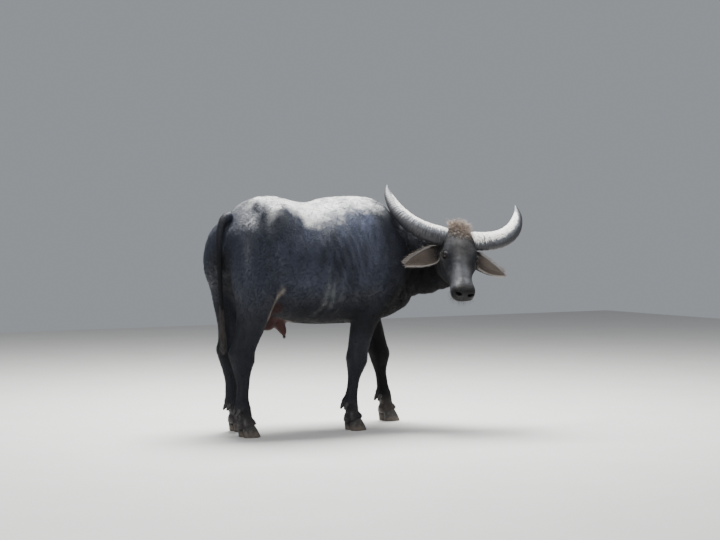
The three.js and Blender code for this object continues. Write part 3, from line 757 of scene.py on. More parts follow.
def lids(side, count=96):
    """Ring of lids: on a ball round the eye, the almond a = 50 cos s, b = 27 sin s (sharper at its corners)
    is pushed out by each angle of the profile, at the profile's radius."""
    centre, gaze, long, high = eye_frame(side)
    s = np.arange(count) / count * 2 * np.pi
    a = HALF_LONG * np.cos(s)
    b = HALF_HIGH * np.sin(s) * (0.72 + 0.28 * np.abs(np.sin(s))) * np.where(np.sin(s) > 0, 1.0, 0.82)
    length = np.hypot(a, b)
    steps, rise = np.radians(LID_PROFILE[:, 0]), LID_PROFILE[:, 1] / 1000
    upper = 0.5 + 0.5 * np.sin(s)
    angle = length[:, None] + steps * (0.8 + 0.25 * upper[:, None])
    radius = EYE_RADIUS + rise * (1 + 0.25 * upper[:, None] * (steps > 0.3))
    crinkle = np.sin(5.5 * steps / 0.3 + 0.8 * np.sin(3 * s)[:, None])
    crinkle = crinkle + 0.7 * np.sin(17 * s + 3)[:, None] * np.sin(9 * steps)
    radius = radius + 0.00045 * crinkle * ramp(steps, 0.3, 0.5)
    turn = np.stack([a / length, b / length], 1)
    sideways = turn[:, :1] * long + turn[:, 1:] * high
    points = np.cos(angle)[..., None] * gaze + np.sin(angle)[..., None] * sideways[:, None]
    points = centre + radius[..., None] * points
    rows, columns = points.shape[:2]
    i, j = grid(rows, columns - 1)
    k = (i + 1) % rows
    quads = np.stack([i * columns + j, k * columns + j, k * columns + j + 1, i * columns + j + 1], 1)
    return facing_out(points.reshape(-1, 3), quads, centre)


print("lids of", len(lids(1)[0]), "vertices each")

# %% [markdown]
# ## Ears
# An ear is a cone of gristle, open to the front: narrow and closed at its root, widest near the middle, and
# drawn to a soft point. It is a wall a few millimetres thick, so the outer and the inner face are the same
# curved sheet moved apart, joined round the rim.

# %% Ears as a cupped wall
EAR_ROWS, EAR_COLUMNS = 56, 30
EAR = [
    (0.100, 0.070, -0.101, 0.025, 0.028),
    (0.112, 0.092, -0.106, 0.036, 0.036),
    (0.126, 0.122, -0.114, 0.056, 0.044),
    (0.14, 0.16, -0.122, 0.061, 0.042),
    (0.156, 0.2, -0.13, 0.054, 0.036),
    (0.168, 0.24, -0.136, 0.041, 0.026),
    (0.178, 0.272, -0.14, 0.024, 0.016),
    (0.185, 0.298, -0.143, 0.008, 0.006),
]


def ear_sheet(side, rows=EAR_ROWS, columns=EAR_COLUMNS):
    """Sheet of the ear and the direction out of its hollow: across at cos q half widths and back at sin q
    depths, where q runs over more than a half turn near the root and just under one at the tip. The right ear
    hangs a little and the left one is raised, by an amount that grows with t squared."""
    t = np.linspace(0, 1, rows)
    table = along(EAR, t) * [1, side, 1, 1, 1]
    raised = 0.012 if side > 0 else -0.018
    middle = table[:, :3] + raised * t[:, None] ** 2 * (np.array([0, 0, 1.0]) @ HEAD_TURN)
    axis = unit(np.gradient(middle, axis=0))
    facing = unit(np.array([0.12, side * 0.3, 1.0]))
    opening = unit(facing - axis * (axis @ facing)[:, None])
    sideways = np.cross(opening, axis) * side
    half_turn = np.interp(t, [0, 0.16, 0.34, 1], [3.05, 2.5, 1.62, 1.45])
    q = np.linspace(-1, 1, columns) * half_turn[:, None]
    wave = 1 + 0.03 * np.sin(9 * t)[:, None] * q**3 / 4  # of the rim
    out = np.sin(q) * table[:, 3, None] * 0.97 * wave
    back = -np.cos(q) * table[:, 4, None] * 0.95 + table[:, 4, None] * 0.4
    fold = 0.006 * bell((q - 0.75) / 0.22) * np.sin(np.pi * t)[:, None]
    over = opening[:, None] * (back + fold)[..., None]
    return middle[:, None] + sideways[:, None] * out[..., None] + over, opening


def ear(side):
    """Closed wall of an ear: the sheet moved out and in by half a thickness that thins to the rim and the
    tip."""
    sheet, opening = ear_sheet(side)
    rows, columns = sheet.shape[:2]
    out = unit(np.cross(np.gradient(sheet, axis=0), np.gradient(sheet, axis=1)))
    inside = np.sum(out * opening[:, None], axis=2)
    out = out * np.where(inside[:, columns // 2, None] > 0, -1, 1)[..., None]
    rim = 1 - np.abs(np.linspace(-1, 1, columns)) ** 6
    thick = 0.0026 * (0.25 + 0.75 * rim) * np.linspace(1.3, 0.6, rows)[:, None]
    outer, inner = ((sheet + hand * out * thick[..., None]).reshape(-1, 3) for hand in (1, -1))
    i, j = grid(rows - 1, columns - 1)
    corner, below = i * columns + j, (i + 1) * columns + j
    quads = np.stack([corner, corner + 1, below + 1, below], 1)
    more = rows * columns
    loop = np.concatenate([
        np.arange(columns),
        np.arange(1, rows) * columns + columns - 1,
        (rows - 1) * columns + np.arange(columns - 2, -1, -1),
        np.arange(rows - 2, 0, -1) * columns,
    ])
    after = np.roll(loop, -1)
    rim_quads = np.stack([after, loop, loop + more, after + more], 1)
    quads = np.concatenate([quads, quads[:, ::-1] + more, rim_quads])
    points = from_head(np.concatenate([outer, inner]))
    corner, right, _, left = points[quads[0]]
    if np.cross(right - corner, left - corner) @ (corner - points[quads[0, 0] + more]) < 0:
        quads = quads[:, ::-1]
    return points, quads, NO_TRIANGLES


print("ears of", len(ear(1)[0]), "vertices each")

# %% Lids and ears join the hide
places, _ = read_mesh(hide)
polygons = np.empty(len(hide.loops), np.int32)
hide.loops.foreach_get("vertex_index", polygons)
totals = np.empty(len(hide.polygons), np.int32)
hide.polygons.foreach_get("loop_total", totals)
starts = np.cumsum(totals) - totals
hide_quads = polygons[starts[totals == 4][:, None] + np.arange(4)]
hide_triangles = [polygons[starts[totals == 3][:, None] + np.arange(3)]]
for corners in range(5, int(totals.max()) + 1):
    fans = polygons[starts[totals == corners][:, None] + np.arange(corners)]
    hide_triangles += [fans[:, [0, k, k + 1]] for k in range(1, corners - 1)]
body, tail = (places, hide_quads, np.concatenate(hide_triangles)), tube(rings(TAIL, 110, 18))
whole = merged([body, tail, lids(-1), lids(1), ear(-1), ear(1)])
BODY_VERTICES, TAIL_VERTICES = len(places), len(tail[0])
EAR_START = len(whole[0]) - 2 * len(ear(1)[0])
bpy.data.meshes.remove(hide)
skin = make_mesh("skin", whole[0] + SHIFT, whole[1], whole[2])
print("skin:", len(skin.data.vertices), "vertices")

# %% [markdown]
# ## Markings
# A marking is a function of place: it takes points in the animal's frame and gives a colour for each. Each
# short lock takes the hide's colour at its root, so a pale streak goes on through the hair.

# %% Colour of the coat by place
SLATE = np.array([0.0162, 0.0190, 0.0292])
BLACKISH = np.array([0.0020, 0.0020, 0.0028])
# Painted highlight for the top of the back, standing for the shine of wet hide.
PAINTED_BACK_HIGHLIGHT = np.array([0.60, 0.60, 0.585])
PALE = np.array([0.20, 0.21, 0.22])
FACE_GREY = np.array([0.0056, 0.0063, 0.0082])
LIT_THIGH_EDGE = np.array([0.155, 0.135, 0.110])
BROW_GREY = np.array([0.060, 0.056, 0.054])
LINING = np.array([0.098, 0.078, 0.065])
EARTH = np.array([0.060, 0.046, 0.038])
REDDISH = np.array([0.030, 0.0085, 0.0075])
NOSE_GREY = np.array([0.0506, 0.05175, 0.05635])
MUZZLE_BLACK = np.array([0.0012, 0.0012, 0.0016])


def waves(points, scale, seed):
    """Soft random pattern from -1 to 1: the mean of eight sine waves in fixed, scattered directions."""
    draw = np.random.default_rng(seed)
    ways = draw.normal(size=(8, 3)) / scale
    return np.sin(points @ ways.T + draw.uniform(0, 6.28, 8)).mean(1) * 1.8


def blend(colour, other, share):
    """Colour moved towards another by a share for each point."""
    return colour + (other - colour) * np.clip(share, 0, 1)[:, None]


def back_highlight_and_dust(colour, points, body, broad, middle, fine):
    """Painted highlight along the top of the back, standing for the shine of wet hide lit from above: a pale
    band with a ragged, dripping edge and a fainter painted spill below it. Also streaks of pale dust on the
    rear ribs.
    """
    x, y, z = points.T
    drips = waves(points * [1, 1, 0.25], 0.03, 4) + 0.5 * waves(points, 0.05, 8)
    streaks = waves(points * [1, 1, 0.1], 0.010, 9) + waves(points * [1, 1, 0.14], 0.021, 10)
    hang = 0.062 * bell((x + 0.145) / 0.06) - 0.05 * bell((x + 0.33) / 0.05)
    edge = 1.235 - hang + 0.02 * drips + 0.05 * ramp(x, 0.02, 0.14) + 0.05 * (y > 0)
    # Painted highlight spill: a paler grey below the band, fading down the sides.
    highlight_spill = span(x, -0.56, -0.44, 0.36, 0.5) * body * ramp(z, edge - 0.17, edge + 0.04)
    colour = blend(colour, PALE * 0.8, 0.42 * highlight_spill * ramp(drips + streaks, -1.2, 0.8))
    # Painted highlight: the pale band along the top of the back, with darker mottles near the spine.
    stretch = span(x + 0.035 * drips + 0.03 * middle, -0.48, -0.37, 0.33, 0.45) * body
    mottled = ramp(np.abs(y), 0.16, 0.05) * ramp(middle + 0.8 * fine + 0.6 * broad, -0.3, 0.9)
    band = ramp(z + 0.022 * streaks + 0.010 * fine, edge - 0.05, edge + 0.065)
    colour = blend(colour, PAINTED_BACK_HIGHLIGHT, (0.92 - 0.6 * mottled + 0.08 * streaks) * stretch * band)
    run = 0
    for start, lean, top, share in (
        (-0.118, 0.14, 0.99, 0.70), (-0.070, 0.05, 0.95, 0.45), (-0.022, 0.0, 0.92, 0.6),
    ):
        path = x - start - lean * (z - 0.8) - 0.006 * np.sin(19 * z + 60 * start)
        line = bell(path / (0.0085 + 0.003 * middle))
        run = run + share * line * span(z, 0.66, 0.75, top - 0.16, top)
    run = run * np.clip(0.6 + 0.5 * streaks + 0.2 * waves(points, 0.0024, 15), 0, 1.2) * (y < 0)
    return blend(colour, PALE * [0.68, 0.70, 0.66], 0.85 * run)


def marked_below(colour, points, body, middle):
    """The chest, the groin with painted shade in its hollow, a painted highlight along the front edge of the
    thigh by the fold of the flank, the mud on the feet, painted shade in the cleft, and the tail.
    """
    x, y, z = points.T
    chest = ramp(x, 0.3, 0.45) * span(z, 0.45, 0.6, 0.66, 0.86) * body
    colour = blend(colour, EARTH, 0.07 * chest * (0.6 + 0.4 * middle))
    groin = near(points, [-0.28, 0, 0.63], [0.13, 0.085, 0.13]) - 0.08 * middle
    colour = blend(colour, REDDISH, ramp(groin, 1.25, 0.85))
    # Painted shade: the reddish skin is darker in the hollow between thigh and belly.
    hollow = near(mirrored(points), [-0.372, 0.22, 0.668], [0.062, 0.13, 0.085]) - 0.12 * middle
    colour = blend(colour, REDDISH * 0.72, 0.95 * ramp(hollow, 1.1, 0.65))
    # Painted highlight: a tan line along the lit front edge of the thigh, stronger on the right side.
    fold = bell((x + 0.398 - 0.33 * (z - 0.74)) / 0.007) * span(z, 0.64, 0.68, 0.80, 0.85)
    colour = blend(colour, LIT_THIGH_EDGE, np.where(y < 0, 0.8, 0.35) * fold * (np.abs(y) > 0.1))
    colour = blend(colour, EARTH, 0.5 * ramp(z, 0.2, 0.05) * (0.6 + 0.4 * middle))
    # Painted shade: darker in the cleft between the buttocks, under the tail.
    cleft = ramp(x, -0.47, -0.56) * ramp(np.abs(y), 0.17, 0.09) * ramp(z, 1.12, 0.98)
    colour = blend(colour, BLACKISH, 0.72 * cleft)
    tail = ramp(path_place(points, TAIL, 60)[1], 0.04, 0.024) * ramp(x, -0.57, -0.61)
    return blend(colour, BLACKISH, 0.75 * tail)


def marked_head(colour, head, in_head, fine, speck):
    """The forehead, the pale bridge of the nose, the black muzzle and jaw, the cheek and the eye's rim."""
    x, y, z = head.T
    off_line = np.abs(y)
    forehead = bell(off_line / 0.034) * ramp(x, 0.27, 0.15) * in_head * (z > -0.07)
    colour = blend(colour, BROW_GREY, 0.75 * forehead * (0.7 + 0.3 * fine + 0.35 * speck))
    bridge = span(x, 0.24, 0.31, 0.405, 0.44) * in_head * ramp(z, -0.125, -0.06)
    bridge = bridge * (1 - 0.3 * ramp(off_line, 0.03, 0.07))
    colour = blend(colour, NOSE_GREY, 0.8 * bridge * (0.72 + 0.2 * fine + 0.45 * speck))
    lips = 0.7 * ramp(x, 0.35, 0.375) * ramp(z, -0.112, -0.124)
    colour = blend(colour, MUZZLE_BLACK, 0.95 * np.maximum(ramp(x, 0.415, 0.442), lips) * in_head)
    colour = blend(colour, BLACKISH, 0.7 * ramp(z, -0.15, -0.2) * in_head)
    cheek = near(mirrored(head), [0.17, 0.1, -0.09], [0.07, 0.05, 0.07])
    colour = blend(colour, EARTH, 0.15 * ramp(cheek, 1.3, 0.8) * in_head * (fine > 0))
    rim = near(mirrored(head), [0.186, 0.1, -0.04], [0.024, 0.02, 0.018])
    return blend(colour, BLACKISH * 0.6, 0.85 * ramp(rim, 1.3, 0.85) * in_head)


def marked_ears(colour, t, inside, edge):
    """The ears: a brown-grey lining that is dark at the root, and a pale rim."""
    in_ear = t >= 0
    lining = blend(np.tile(LINING, (len(t), 1)), BLACKISH, 0.9 * ramp(t, 0.5, 0.2))
    colour = colour + (lining - colour) * (0.85 * inside * in_ear)[:, None]
    return blend(colour, PALE * 1.5, 0.8 * edge * in_ear)


def markings(points, ears):
    """Colour for every point in the animal's frame; the ears' points say how far up and inside they lie."""
    x, y, z = points.T
    head = to_head(points)
    in_head = ramp(head[:, 0], -0.06, 0.02) * ramp(off_head(head), 1.15, 0.95)
    body = 1 - in_head
    broad, middle, fine = waves(points, 0.16, 1), waves(points, 0.05, 2), waves(points, 0.015, 3)
    speck = waves(points, 0.0024, 15)
    colour = blend(np.tile(SLATE, (len(points), 1)), FACE_GREY, in_head)
    colour = colour * (1 + 0.3 * speck * in_head)[:, None]
    colour = colour * (1 + 0.28 * broad + 0.16 * middle + 0.1 * fine)[:, None]
    # Painted sheen: the flanks are lightened, with pale streaks on the shoulder and a lighter spot on the
    # hip, standing for the shine of wet hide.
    sheen = span(x, -0.40, -0.16, 0.20, 0.34) * ramp(z, 0.74, 0.92) * body
    sheen_streaks = ramp(waves(points * [1, 1, 0.22], 0.024, 14), 0.1, 1.1) * ramp(x, 0.02, 0.2)
    hip = ramp(near(mirrored(points), [-0.37, 0.26, 1.02], [0.10, 0.2, 0.12]), 1.0, 0.1)
    gleam = sheen * (1.7 * (0.75 + 0.4 * middle + 0.2 * fine) + 1.8 * sheen_streaks) + 0.55 * hip
    colour = colour * (1 + gleam[:, None])
    # Painted shade: the body is darkened towards BLACKISH low down, on the belly, low on the front of the
    # neck and over the whole neck.
    low = ramp(z, 0.94, 0.6) * body
    under = ramp(x, 0.4, 0.52) * ramp(z, 1.12, 0.9) * body
    belly = low * ramp(x, -0.32, -0.2) * ramp(z, 0.5, 0.6)
    nape = ramp(x, 0.24, 0.40) * body
    shade = 0.74 * low + 0.2 * belly + 0.7 * under + 0.55 * nape + 0.14 * broad
    colour = back_highlight_and_dust(blend(colour, BLACKISH, shade), points, body, broad, middle, fine)
    colour = marked_below(colour, points, body, middle)
    colour = marked_head(colour, head, in_head, fine, speck)
    return np.clip(marked_ears(colour, *ears), 0.0012, 1)


def ear_coordinates(count, start):
    """For skin vertices: how far along the ear they lie (-1 off the ear), whether inside the cup, and how
    near to the rim."""
    t, inside, edge = -np.ones(count), np.zeros(count), np.zeros(count)
    sheet_t = np.repeat(np.linspace(0, 1, EAR_ROWS), EAR_COLUMNS)
    sheet_v = np.tile(np.abs(np.linspace(-1, 1, EAR_COLUMNS)), EAR_ROWS)
    one = len(sheet_t)
    for k in range(4):
        part = slice(start + k * one, start + (k + 1) * one)
        t[part] = sheet_t
        inside[part] = k % 2
        edge[part] = ramp(sheet_v, 0.86, 1.0) * ramp(sheet_t, 0.2, 0.4)
    return t, inside, edge


skin_places, _ = read_mesh(skin.data)
animal_places = skin_places - SHIFT
EAR_DATA = ear_coordinates(len(skin_places), EAR_START)
skin_colour = markings(animal_places, EAR_DATA)
print("mean colour", skin_colour.mean(0).round(3))


def store_colour(piece, colour, name="marking"):
    """Colour for each vertex as an attribute that materials can read."""
    attribute = piece.data.color_attributes.new(name, "FLOAT_COLOR", "POINT")
    rgba = np.concatenate([colour, np.ones((len(colour), 1))], 1).astype(np.float32)
    attribute.data.foreach_set("color", rgba.ravel())


def store_number(piece, values, name):
    """One number for each vertex as an attribute."""
    attribute = piece.data.attributes.new(name, "FLOAT", "POINT")
    attribute.data.foreach_set("value", np.asarray(values, np.float32))


store_colour(skin, skin_colour)
skin_head = to_head(animal_places)
on_nose = ramp(skin_head[:, 0], 0.405, 0.44) * (np.abs(skin_head[:, 1]) < 0.12) * (skin_head[:, 2] > -0.2)
store_number(skin, on_nose, "leather")
store_number(skin, ramp(off_head(skin_head), 1.1, 0.9), "face")

# %% [markdown]
# ## Shader maths as Python
# A material is a graph of nodes, and sums written as nodes are hard to read. The small class here wraps a
# socket, so that `a * 2 + b` adds the Math nodes itself. Any other node comes from one method.

# %% A socket with operators
class Value:
    """A socket of a material; sums, products and powers of values add Math nodes."""

    def __init__(self, tree, socket):
        self.tree, self.socket = tree, socket

    def math(self, operation, *numbers):
        return self.tree.node("ShaderNodeMath", {"operation": operation}, dict(enumerate(numbers)))

    __add__ = __radd__ = lambda self, other: self.math("ADD", self, other)
    __mul__ = __rmul__ = lambda self, other: self.math("MULTIPLY", self, other)
    __sub__ = lambda self, other: self.math("SUBTRACT", self, other)
    __rsub__ = lambda self, other: self.math("SUBTRACT", other, self)
    __truediv__ = lambda self, other: self.math("DIVIDE", self, other)
    __pow__ = lambda self, other: self.math("POWER", self, other)

    def sine(self):
        return self.math("SINE", self)

    def step(self, low, high):
        """0 below low, 1 above high, smooth between them."""
        inputs = {"Value": self, "From Min": low, "From Max": high}
        return self.tree.node("ShaderNodeMapRange", {"interpolation_type": "SMOOTHSTEP"}, inputs)


class Finish:
    """A material under construction: its nodes, and its main shader."""

    def __init__(self, name, **constants):
        self.material = bpy.data.materials.new(name)
        self.material.use_nodes = True
        self.nodes, self.links = self.material.node_tree.nodes, self.material.node_tree.links
        self.shader = next(n for n in self.nodes if n.type == "BSDF_PRINCIPLED")
        for socket, value in constants.items():
            self.shader.inputs[socket.replace("_", " ")].default_value = value

    def node(self, kind, settings=None, inputs=None, output=0):
        """A node of a type, its settings made first, then its sockets linked or filled."""
        node = self.nodes.new(kind)
        for key, value in (settings or {}).items():
            setattr(node, key, value)
        for key, value in (inputs or {}).items():
            self.feed(node.inputs[key], value)
        return Value(self, node.outputs[output])

    def feed(self, socket, value):
        """A link if the value is a socket, otherwise a constant."""
        if isinstance(value, Value):
            self.links.new(value.socket, socket)
        elif hasattr(value, "__len__") and len(value) == 3 and len(socket.default_value) == 4:
            socket.default_value = (*value, 1)
        else:
            socket.default_value = value

    def place(self):
        return self.node("ShaderNodeTexCoord", output="Object")

    def attribute(self, name, output="Fac"):
        return self.node("ShaderNodeAttribute", {"attribute_name": name}, output=output)

    def part(self, vector, axis):
        """One number of a colour or a place."""
        return self.node("ShaderNodeSeparateXYZ", inputs={0: vector}, output=axis)

    def vector_math(self, operation, first, second, socket=1):
        return self.node("ShaderNodeVectorMath", {"operation": operation}, {0: first, socket: second})

    def shade(self, colour, factor):
        """A colour, or any vector, made greater or smaller by a value."""
        return self.vector_math("SCALE", colour, factor, "Scale")

    def noise(self, vector, scale, detail=3, roughness=0.5, stretch=(1, 1, 1), output=0):
        """Soft noise of a scale per metre, on a place stretched along the axes."""
        vector = self.vector_math("MULTIPLY", vector, stretch)
        inputs = {"Vector": vector, "Scale": scale, "Detail": detail, "Roughness": roughness}
        return self.node("ShaderNodeTexNoise", inputs=inputs, output=output)

    def cells(self, vector, scale, feature="F1"):
        inputs = {"Vector": vector, "Scale": scale}
        return self.node("ShaderNodeTexVoronoi", {"feature": feature}, inputs, "Distance")

    def mix(self, share, first, second):
        """Colour mixed from two."""
        return self.node("ShaderNodeMix", {"data_type": "RGBA"}, {0: share, 6: first, 7: second}, output=2)

    def bump(self, height, distance, strength):
        inputs = {"Height": height, "Distance": distance, "Strength": strength}
        return self.node("ShaderNodeBump", inputs=inputs)

    def matt_where_dark(self, marking, share):
        """Extra roughness where the marking is nearly black, so that dark hair stays dark in the light."""
        return share * (1 - self.part(marking, "Y").step(0.002, 0.014))

    def done(self, **links):
        """Feeds the main shader's sockets and gives the material."""
        for socket, value in links.items():
            self.feed(self.shader.inputs[socket.replace("_", " ")], value)
        return self.material


# %% [markdown]
# ## The hide's finish
# A wet or freshly rubbed buffalo is slate grey with a leathery skin under thin hair. The skin has three
# scales of relief: fine pores, a net of creases, and the lie of the hair as short streaks along the body.
# The nearly black parts and the face are duller than the rest, and the bare nose has a grain of its own.

# %% Hide material
hide_finish = Finish("wet_slate_hide", Specular_IOR_Level=0.25)
place = hide_finish.place()
marking = hide_finish.attribute("marking", "Color")
mottle = hide_finish.noise(place, 18, 5, 0.6)
speckle = hide_finish.noise(place, 260, 2, 0.6)
streak = hide_finish.noise(place, 300, 3, 0.65, (0.10, 0.6, 0.45))
wander = hide_finish.noise(place, 60, 2, output="Color")
bent = hide_finish.vector_math("ADD", place, hide_finish.shade(wander, 0.012))
net = hide_finish.cells(bent, 240, "DISTANCE_TO_EDGE")
tone = 0.64 + mottle * 0.5 + streak * 0.18 + speckle * 0.1
relief = streak * 0.42 + net.step(0.0, 0.25) * 0.12 + speckle * 0.35 + mottle * 0.5
leather = hide_finish.attribute("leather")
relief = relief + leather * (0.7 - hide_finish.cells(bent, 290) * 1.2)
matt = hide_finish.matt_where_dark(marking, 0.42)
soft_sheen = hide_finish.attribute("face") * (1 - leather) * 0.2
hide_material = hide_finish.done(
    Base_Color=hide_finish.shade(marking, tone),
    Roughness=0.30 + mottle * 0.30 + speckle * 0.06 + matt * (1 - leather * 0.6) + soft_sheen,
    Normal=hide_finish.bump(relief, 0.0014, 0.6),
)
skin.data.materials.append(hide_material)
FLESH_NODES = ["torso", "neck", "head", "tail", "scrotum", "sheath", "ear_left", "ear_right", *LEGS]
print("hide replaces", FLESH_NODES)

# %% [markdown]
# ## Hard pieces
# Horns, eyes and claws are closed pieces of their own. One function makes them all: the mesh, the numbers
# that its material reads, its faces turned outwards, and its finish.

# %% A hard piece
def hard_piece(name, geometry, material, numbers=()):
    """A closed piece with its faces turned outwards, its finish, and numbers for each vertex."""
    piece = make_mesh(name, *geometry)
    for key, values in dict(numbers).items():
        store_number(piece, values, key)
    work = bmesh.new()
    work.from_mesh(piece.data)
    bmesh.ops.recalc_face_normals(work, faces=work.faces)
    work.to_mesh(piece.data)
    work.free()
    piece.data.materials.append(material)
    return piece


# %% [markdown]
# ## Horns
# A buffalo's horn is three-sided and flat at its base, and a sheath of horn grows in yearly steps, so the
# lower half has close ridges across it that wear smooth towards the tip. The upper side is painted pale,
# partly as bleaching and partly as painted highlight, with dark specks, and the underside is painted dark as
# painted shade.

# %% Horn surfaces
HORN = [
    (0.036, 0.052, -0.048, 0.92),
    (0.03, 0.098, -0.046, 1.0),
    (0.02, 0.16, -0.044, 0.98),
    (-0.01, 0.232, -0.046, 0.94),
    (-0.066, 0.298, -0.05, 0.85),
    (-0.146, 0.35, -0.055, 0.7),
    (-0.242, 0.382, -0.062, 0.47),
    (-0.312, 0.388, -0.068, 0.24),
    (-0.36, 0.386, -0.072, 0.05),
]
HORN_DEPTH, HORN_BREADTH, LEFT_SPREAD = 0.047, 0.062, 1.06


def horn(side, count=260, points=56):
    """Horn skin and the share of the way along it: rings round the curve, a little flattened, each pushed out
    by ridges whose spacing and height change along it, and rounded off at the tip."""
    spread = LEFT_SPREAD if side > 0 else -1
    broad = HORN_BREADTH
    rows = [(x, spread * y, z, HORN_DEPTH * s, broad * s, broad * s, 1.9, 0) for x, y, z, s in HORN]
    sections = rings(rows, count, points, side=(0, 0, side))
    t = np.linspace(0, 1, count)[:, None]
    angle = ((np.arange(points) + 0.5) / points * 2 * np.pi)[None]
    middle = sections.mean(1, keepdims=True)
    phase = 46 * t**0.85 + 0.35 * np.sin(angle + 5 * t) + 0.3 * np.sin(31 * t)
    worn = span(t, 0.03, 0.1, 0.5, 0.82)
    ridged = 1 + worn * (0.022 * (ripple(phase, 0.7) - 0.6) + 0.012 * np.sin(2.3 * phase))
    flat = 1 - 0.05 * np.cos(2 * angle + 0.6) * (1 - t)
    tip = np.where(t > 0.985, 0.55 + 0.45 * np.sqrt(np.clip((1 - t) / 0.015, 0, 1)), 1.0)
    sections = middle + (sections - middle) * (ridged * flat * tip)[..., None]
    vertices, quads, triangles = tube(sections)
    curve = np.concatenate([np.repeat(t[:, 0], points), [0, 1]])
    return from_head(vertices) + SHIFT, quads, triangles, curve


# %% Horn material
horn_finish = Finish("weathered_and_sunlit_horn", Specular_IOR_Level=0.4)
place = horn_finish.place()
growth = horn_finish.attribute("growth")
# Painted light and shade: the horn is paler where it faces up and darker on its underside. The tip is darker
# in its own colour.
up = horn_finish.attribute("upside") * 1.4 - growth.step(0.62, 0.92) * 0.8
blotch = horn_finish.noise(place, 28, 4, 0.65)
grain = horn_finish.noise(place, 140, 4, 0.7)
# worn adds bleaching and noise to the painted light and shade of up.
worn = up + horn_finish.attribute("sunlit_and_bleached") + (blotch - 0.5) * 0.7 + (grain - 0.5) * 0.5
pale = horn_finish.mix(grain, (0.40, 0.39, 0.375), (0.86, 0.835, 0.79))
grey = horn_finish.mix(grain, (0.048, 0.053, 0.064), (0.135, 0.145, 0.16))
dark = horn_finish.mix(grain, (0.008, 0.008, 0.010), (0.035, 0.035, 0.040))
tone = horn_finish.mix(worn.step(0.05, 0.62), dark, grey)
tone = horn_finish.mix(worn.step(0.60, 0.86), tone, pale)
chips = horn_finish.noise(place, 130, 2, 0.5, (1, 1, 0.6)).step(0.54, 0.60) * blotch.step(0.32, 0.52)
tone = horn_finish.mix(chips * 0.8, tone, (0.02, 0.02, 0.024))
ring = (growth * 300 + blotch * 9).sine()
tone = horn_finish.shade(tone, 0.92 + ring * 0.08 * (1 - growth) + grain * 0.12)
horn_material = horn_finish.done(
    Base_Color=tone,
    Roughness=0.42 + grain * 0.22,
    Normal=horn_finish.bump(grain * 0.6 + ring * 0.25, 0.0012, 0.7),
)
for side, name in SIDES:
    vertices, quads, triangles, growth = horn(side)
    # Painted light together with bleaching: the left horn is painted paler than the right, fading along it.
    sunlit = 0.44 - 0.40 * ramp(growth, 0.30, 0.60) if side > 0 else np.full(len(growth), -0.14)
    numbers = {"growth": growth, "sunlit_and_bleached": sunlit}
    piece = hard_piece("horn_sheath_" + name, (vertices, quads, triangles), horn_material, numbers)
    inward = np.array([0, -side, 0]) @ HEAD_TURN.T
    store_number(piece, normals(piece.data) @ unit(0.6 * inward + [0, 0, 0.8]), "upside")
    add_to_object(piece, ["horn_" + name])

# %% [markdown]
# ## Eyes
# Seen close, a buffalo's eye is a dark brown ball with a pupil like a bar lying on its side. The colour is
# painted on the front of the ball, and a clear, wet coat over it takes the light.

# %% Eyes
def eyeball(side, count=56, points=72):
    """Ball with its pole on the way it looks, and a low bulge of the cornea over the iris; and each vertex's
    distance from that pole along the eye and up it."""
    centre, gaze, long, high = eye_frame(side)
    polar = np.linspace(0, np.pi, count + 2)[1:-1, None]
    around = (np.arange(points) / points * 2 * np.pi)[None]
    radius = EYE_RADIUS - 0.0004 + 0.0011 * bell(polar / 0.42)
    step = np.sin(polar)[..., None] * (np.cos(around)[..., None] * long + np.sin(around)[..., None] * high)
    ball = centre + radius[..., None] * (np.cos(polar)[..., None] * gaze + step)
    vertices, quads, triangles = tube(ball)
    off_pole = np.abs((vertices - centre) @ np.stack([long, high], 1))
    return (from_head(vertices) + SHIFT, quads, triangles), off_pole


eye_finish = Finish("wet_eye", Roughness=0.12, Specular_IOR_Level=0.4, Coat_Weight=0.6, Coat_Roughness=0.03)
along_eye = eye_finish.attribute("eye_long")
up_eye = eye_finish.attribute("eye_high")
from_middle = (along_eye * along_eye + up_eye * up_eye) ** 0.5
spokes = eye_finish.noise(eye_finish.place(), 900, 3, 0.6)
iris = eye_finish.mix(spokes, (0.010, 0.005, 0.003), (0.050, 0.022, 0.010))
iris = eye_finish.mix(from_middle.step(0.0105, 0.0138), iris, (0.006, 0.004, 0.004))
white = eye_finish.mix(spokes, (0.030, 0.018, 0.015), (0.075, 0.050, 0.042))
ball = eye_finish.mix(from_middle.step(0.0136, 0.0152), iris, white)
bar = ((along_eye / 0.0058) ** 2 + (up_eye / 0.0026) ** 2).step(0.8, 1.2)
eye_material = eye_finish.done(Base_Color=eye_finish.mix(bar, (0.002, 0.002, 0.003), ball))
for side, name in SIDES:
    ball, off_pole = eyeball(side)
    numbers = {"eye_long": off_pole[:, 0], "eye_high": off_pole[:, 1]}
    piece = hard_piece("eyeball_" + name, ball, eye_material, numbers)
    add_to_object(piece, ["eye_" + name])

# %% [markdown]
# ## Claws
# A cloven foot stands on two claws. Each is a hard wall that grows down from the hair line, so it shows
# faint rings level with that line. Its edge is rounded at the ground, and mud clings low down.

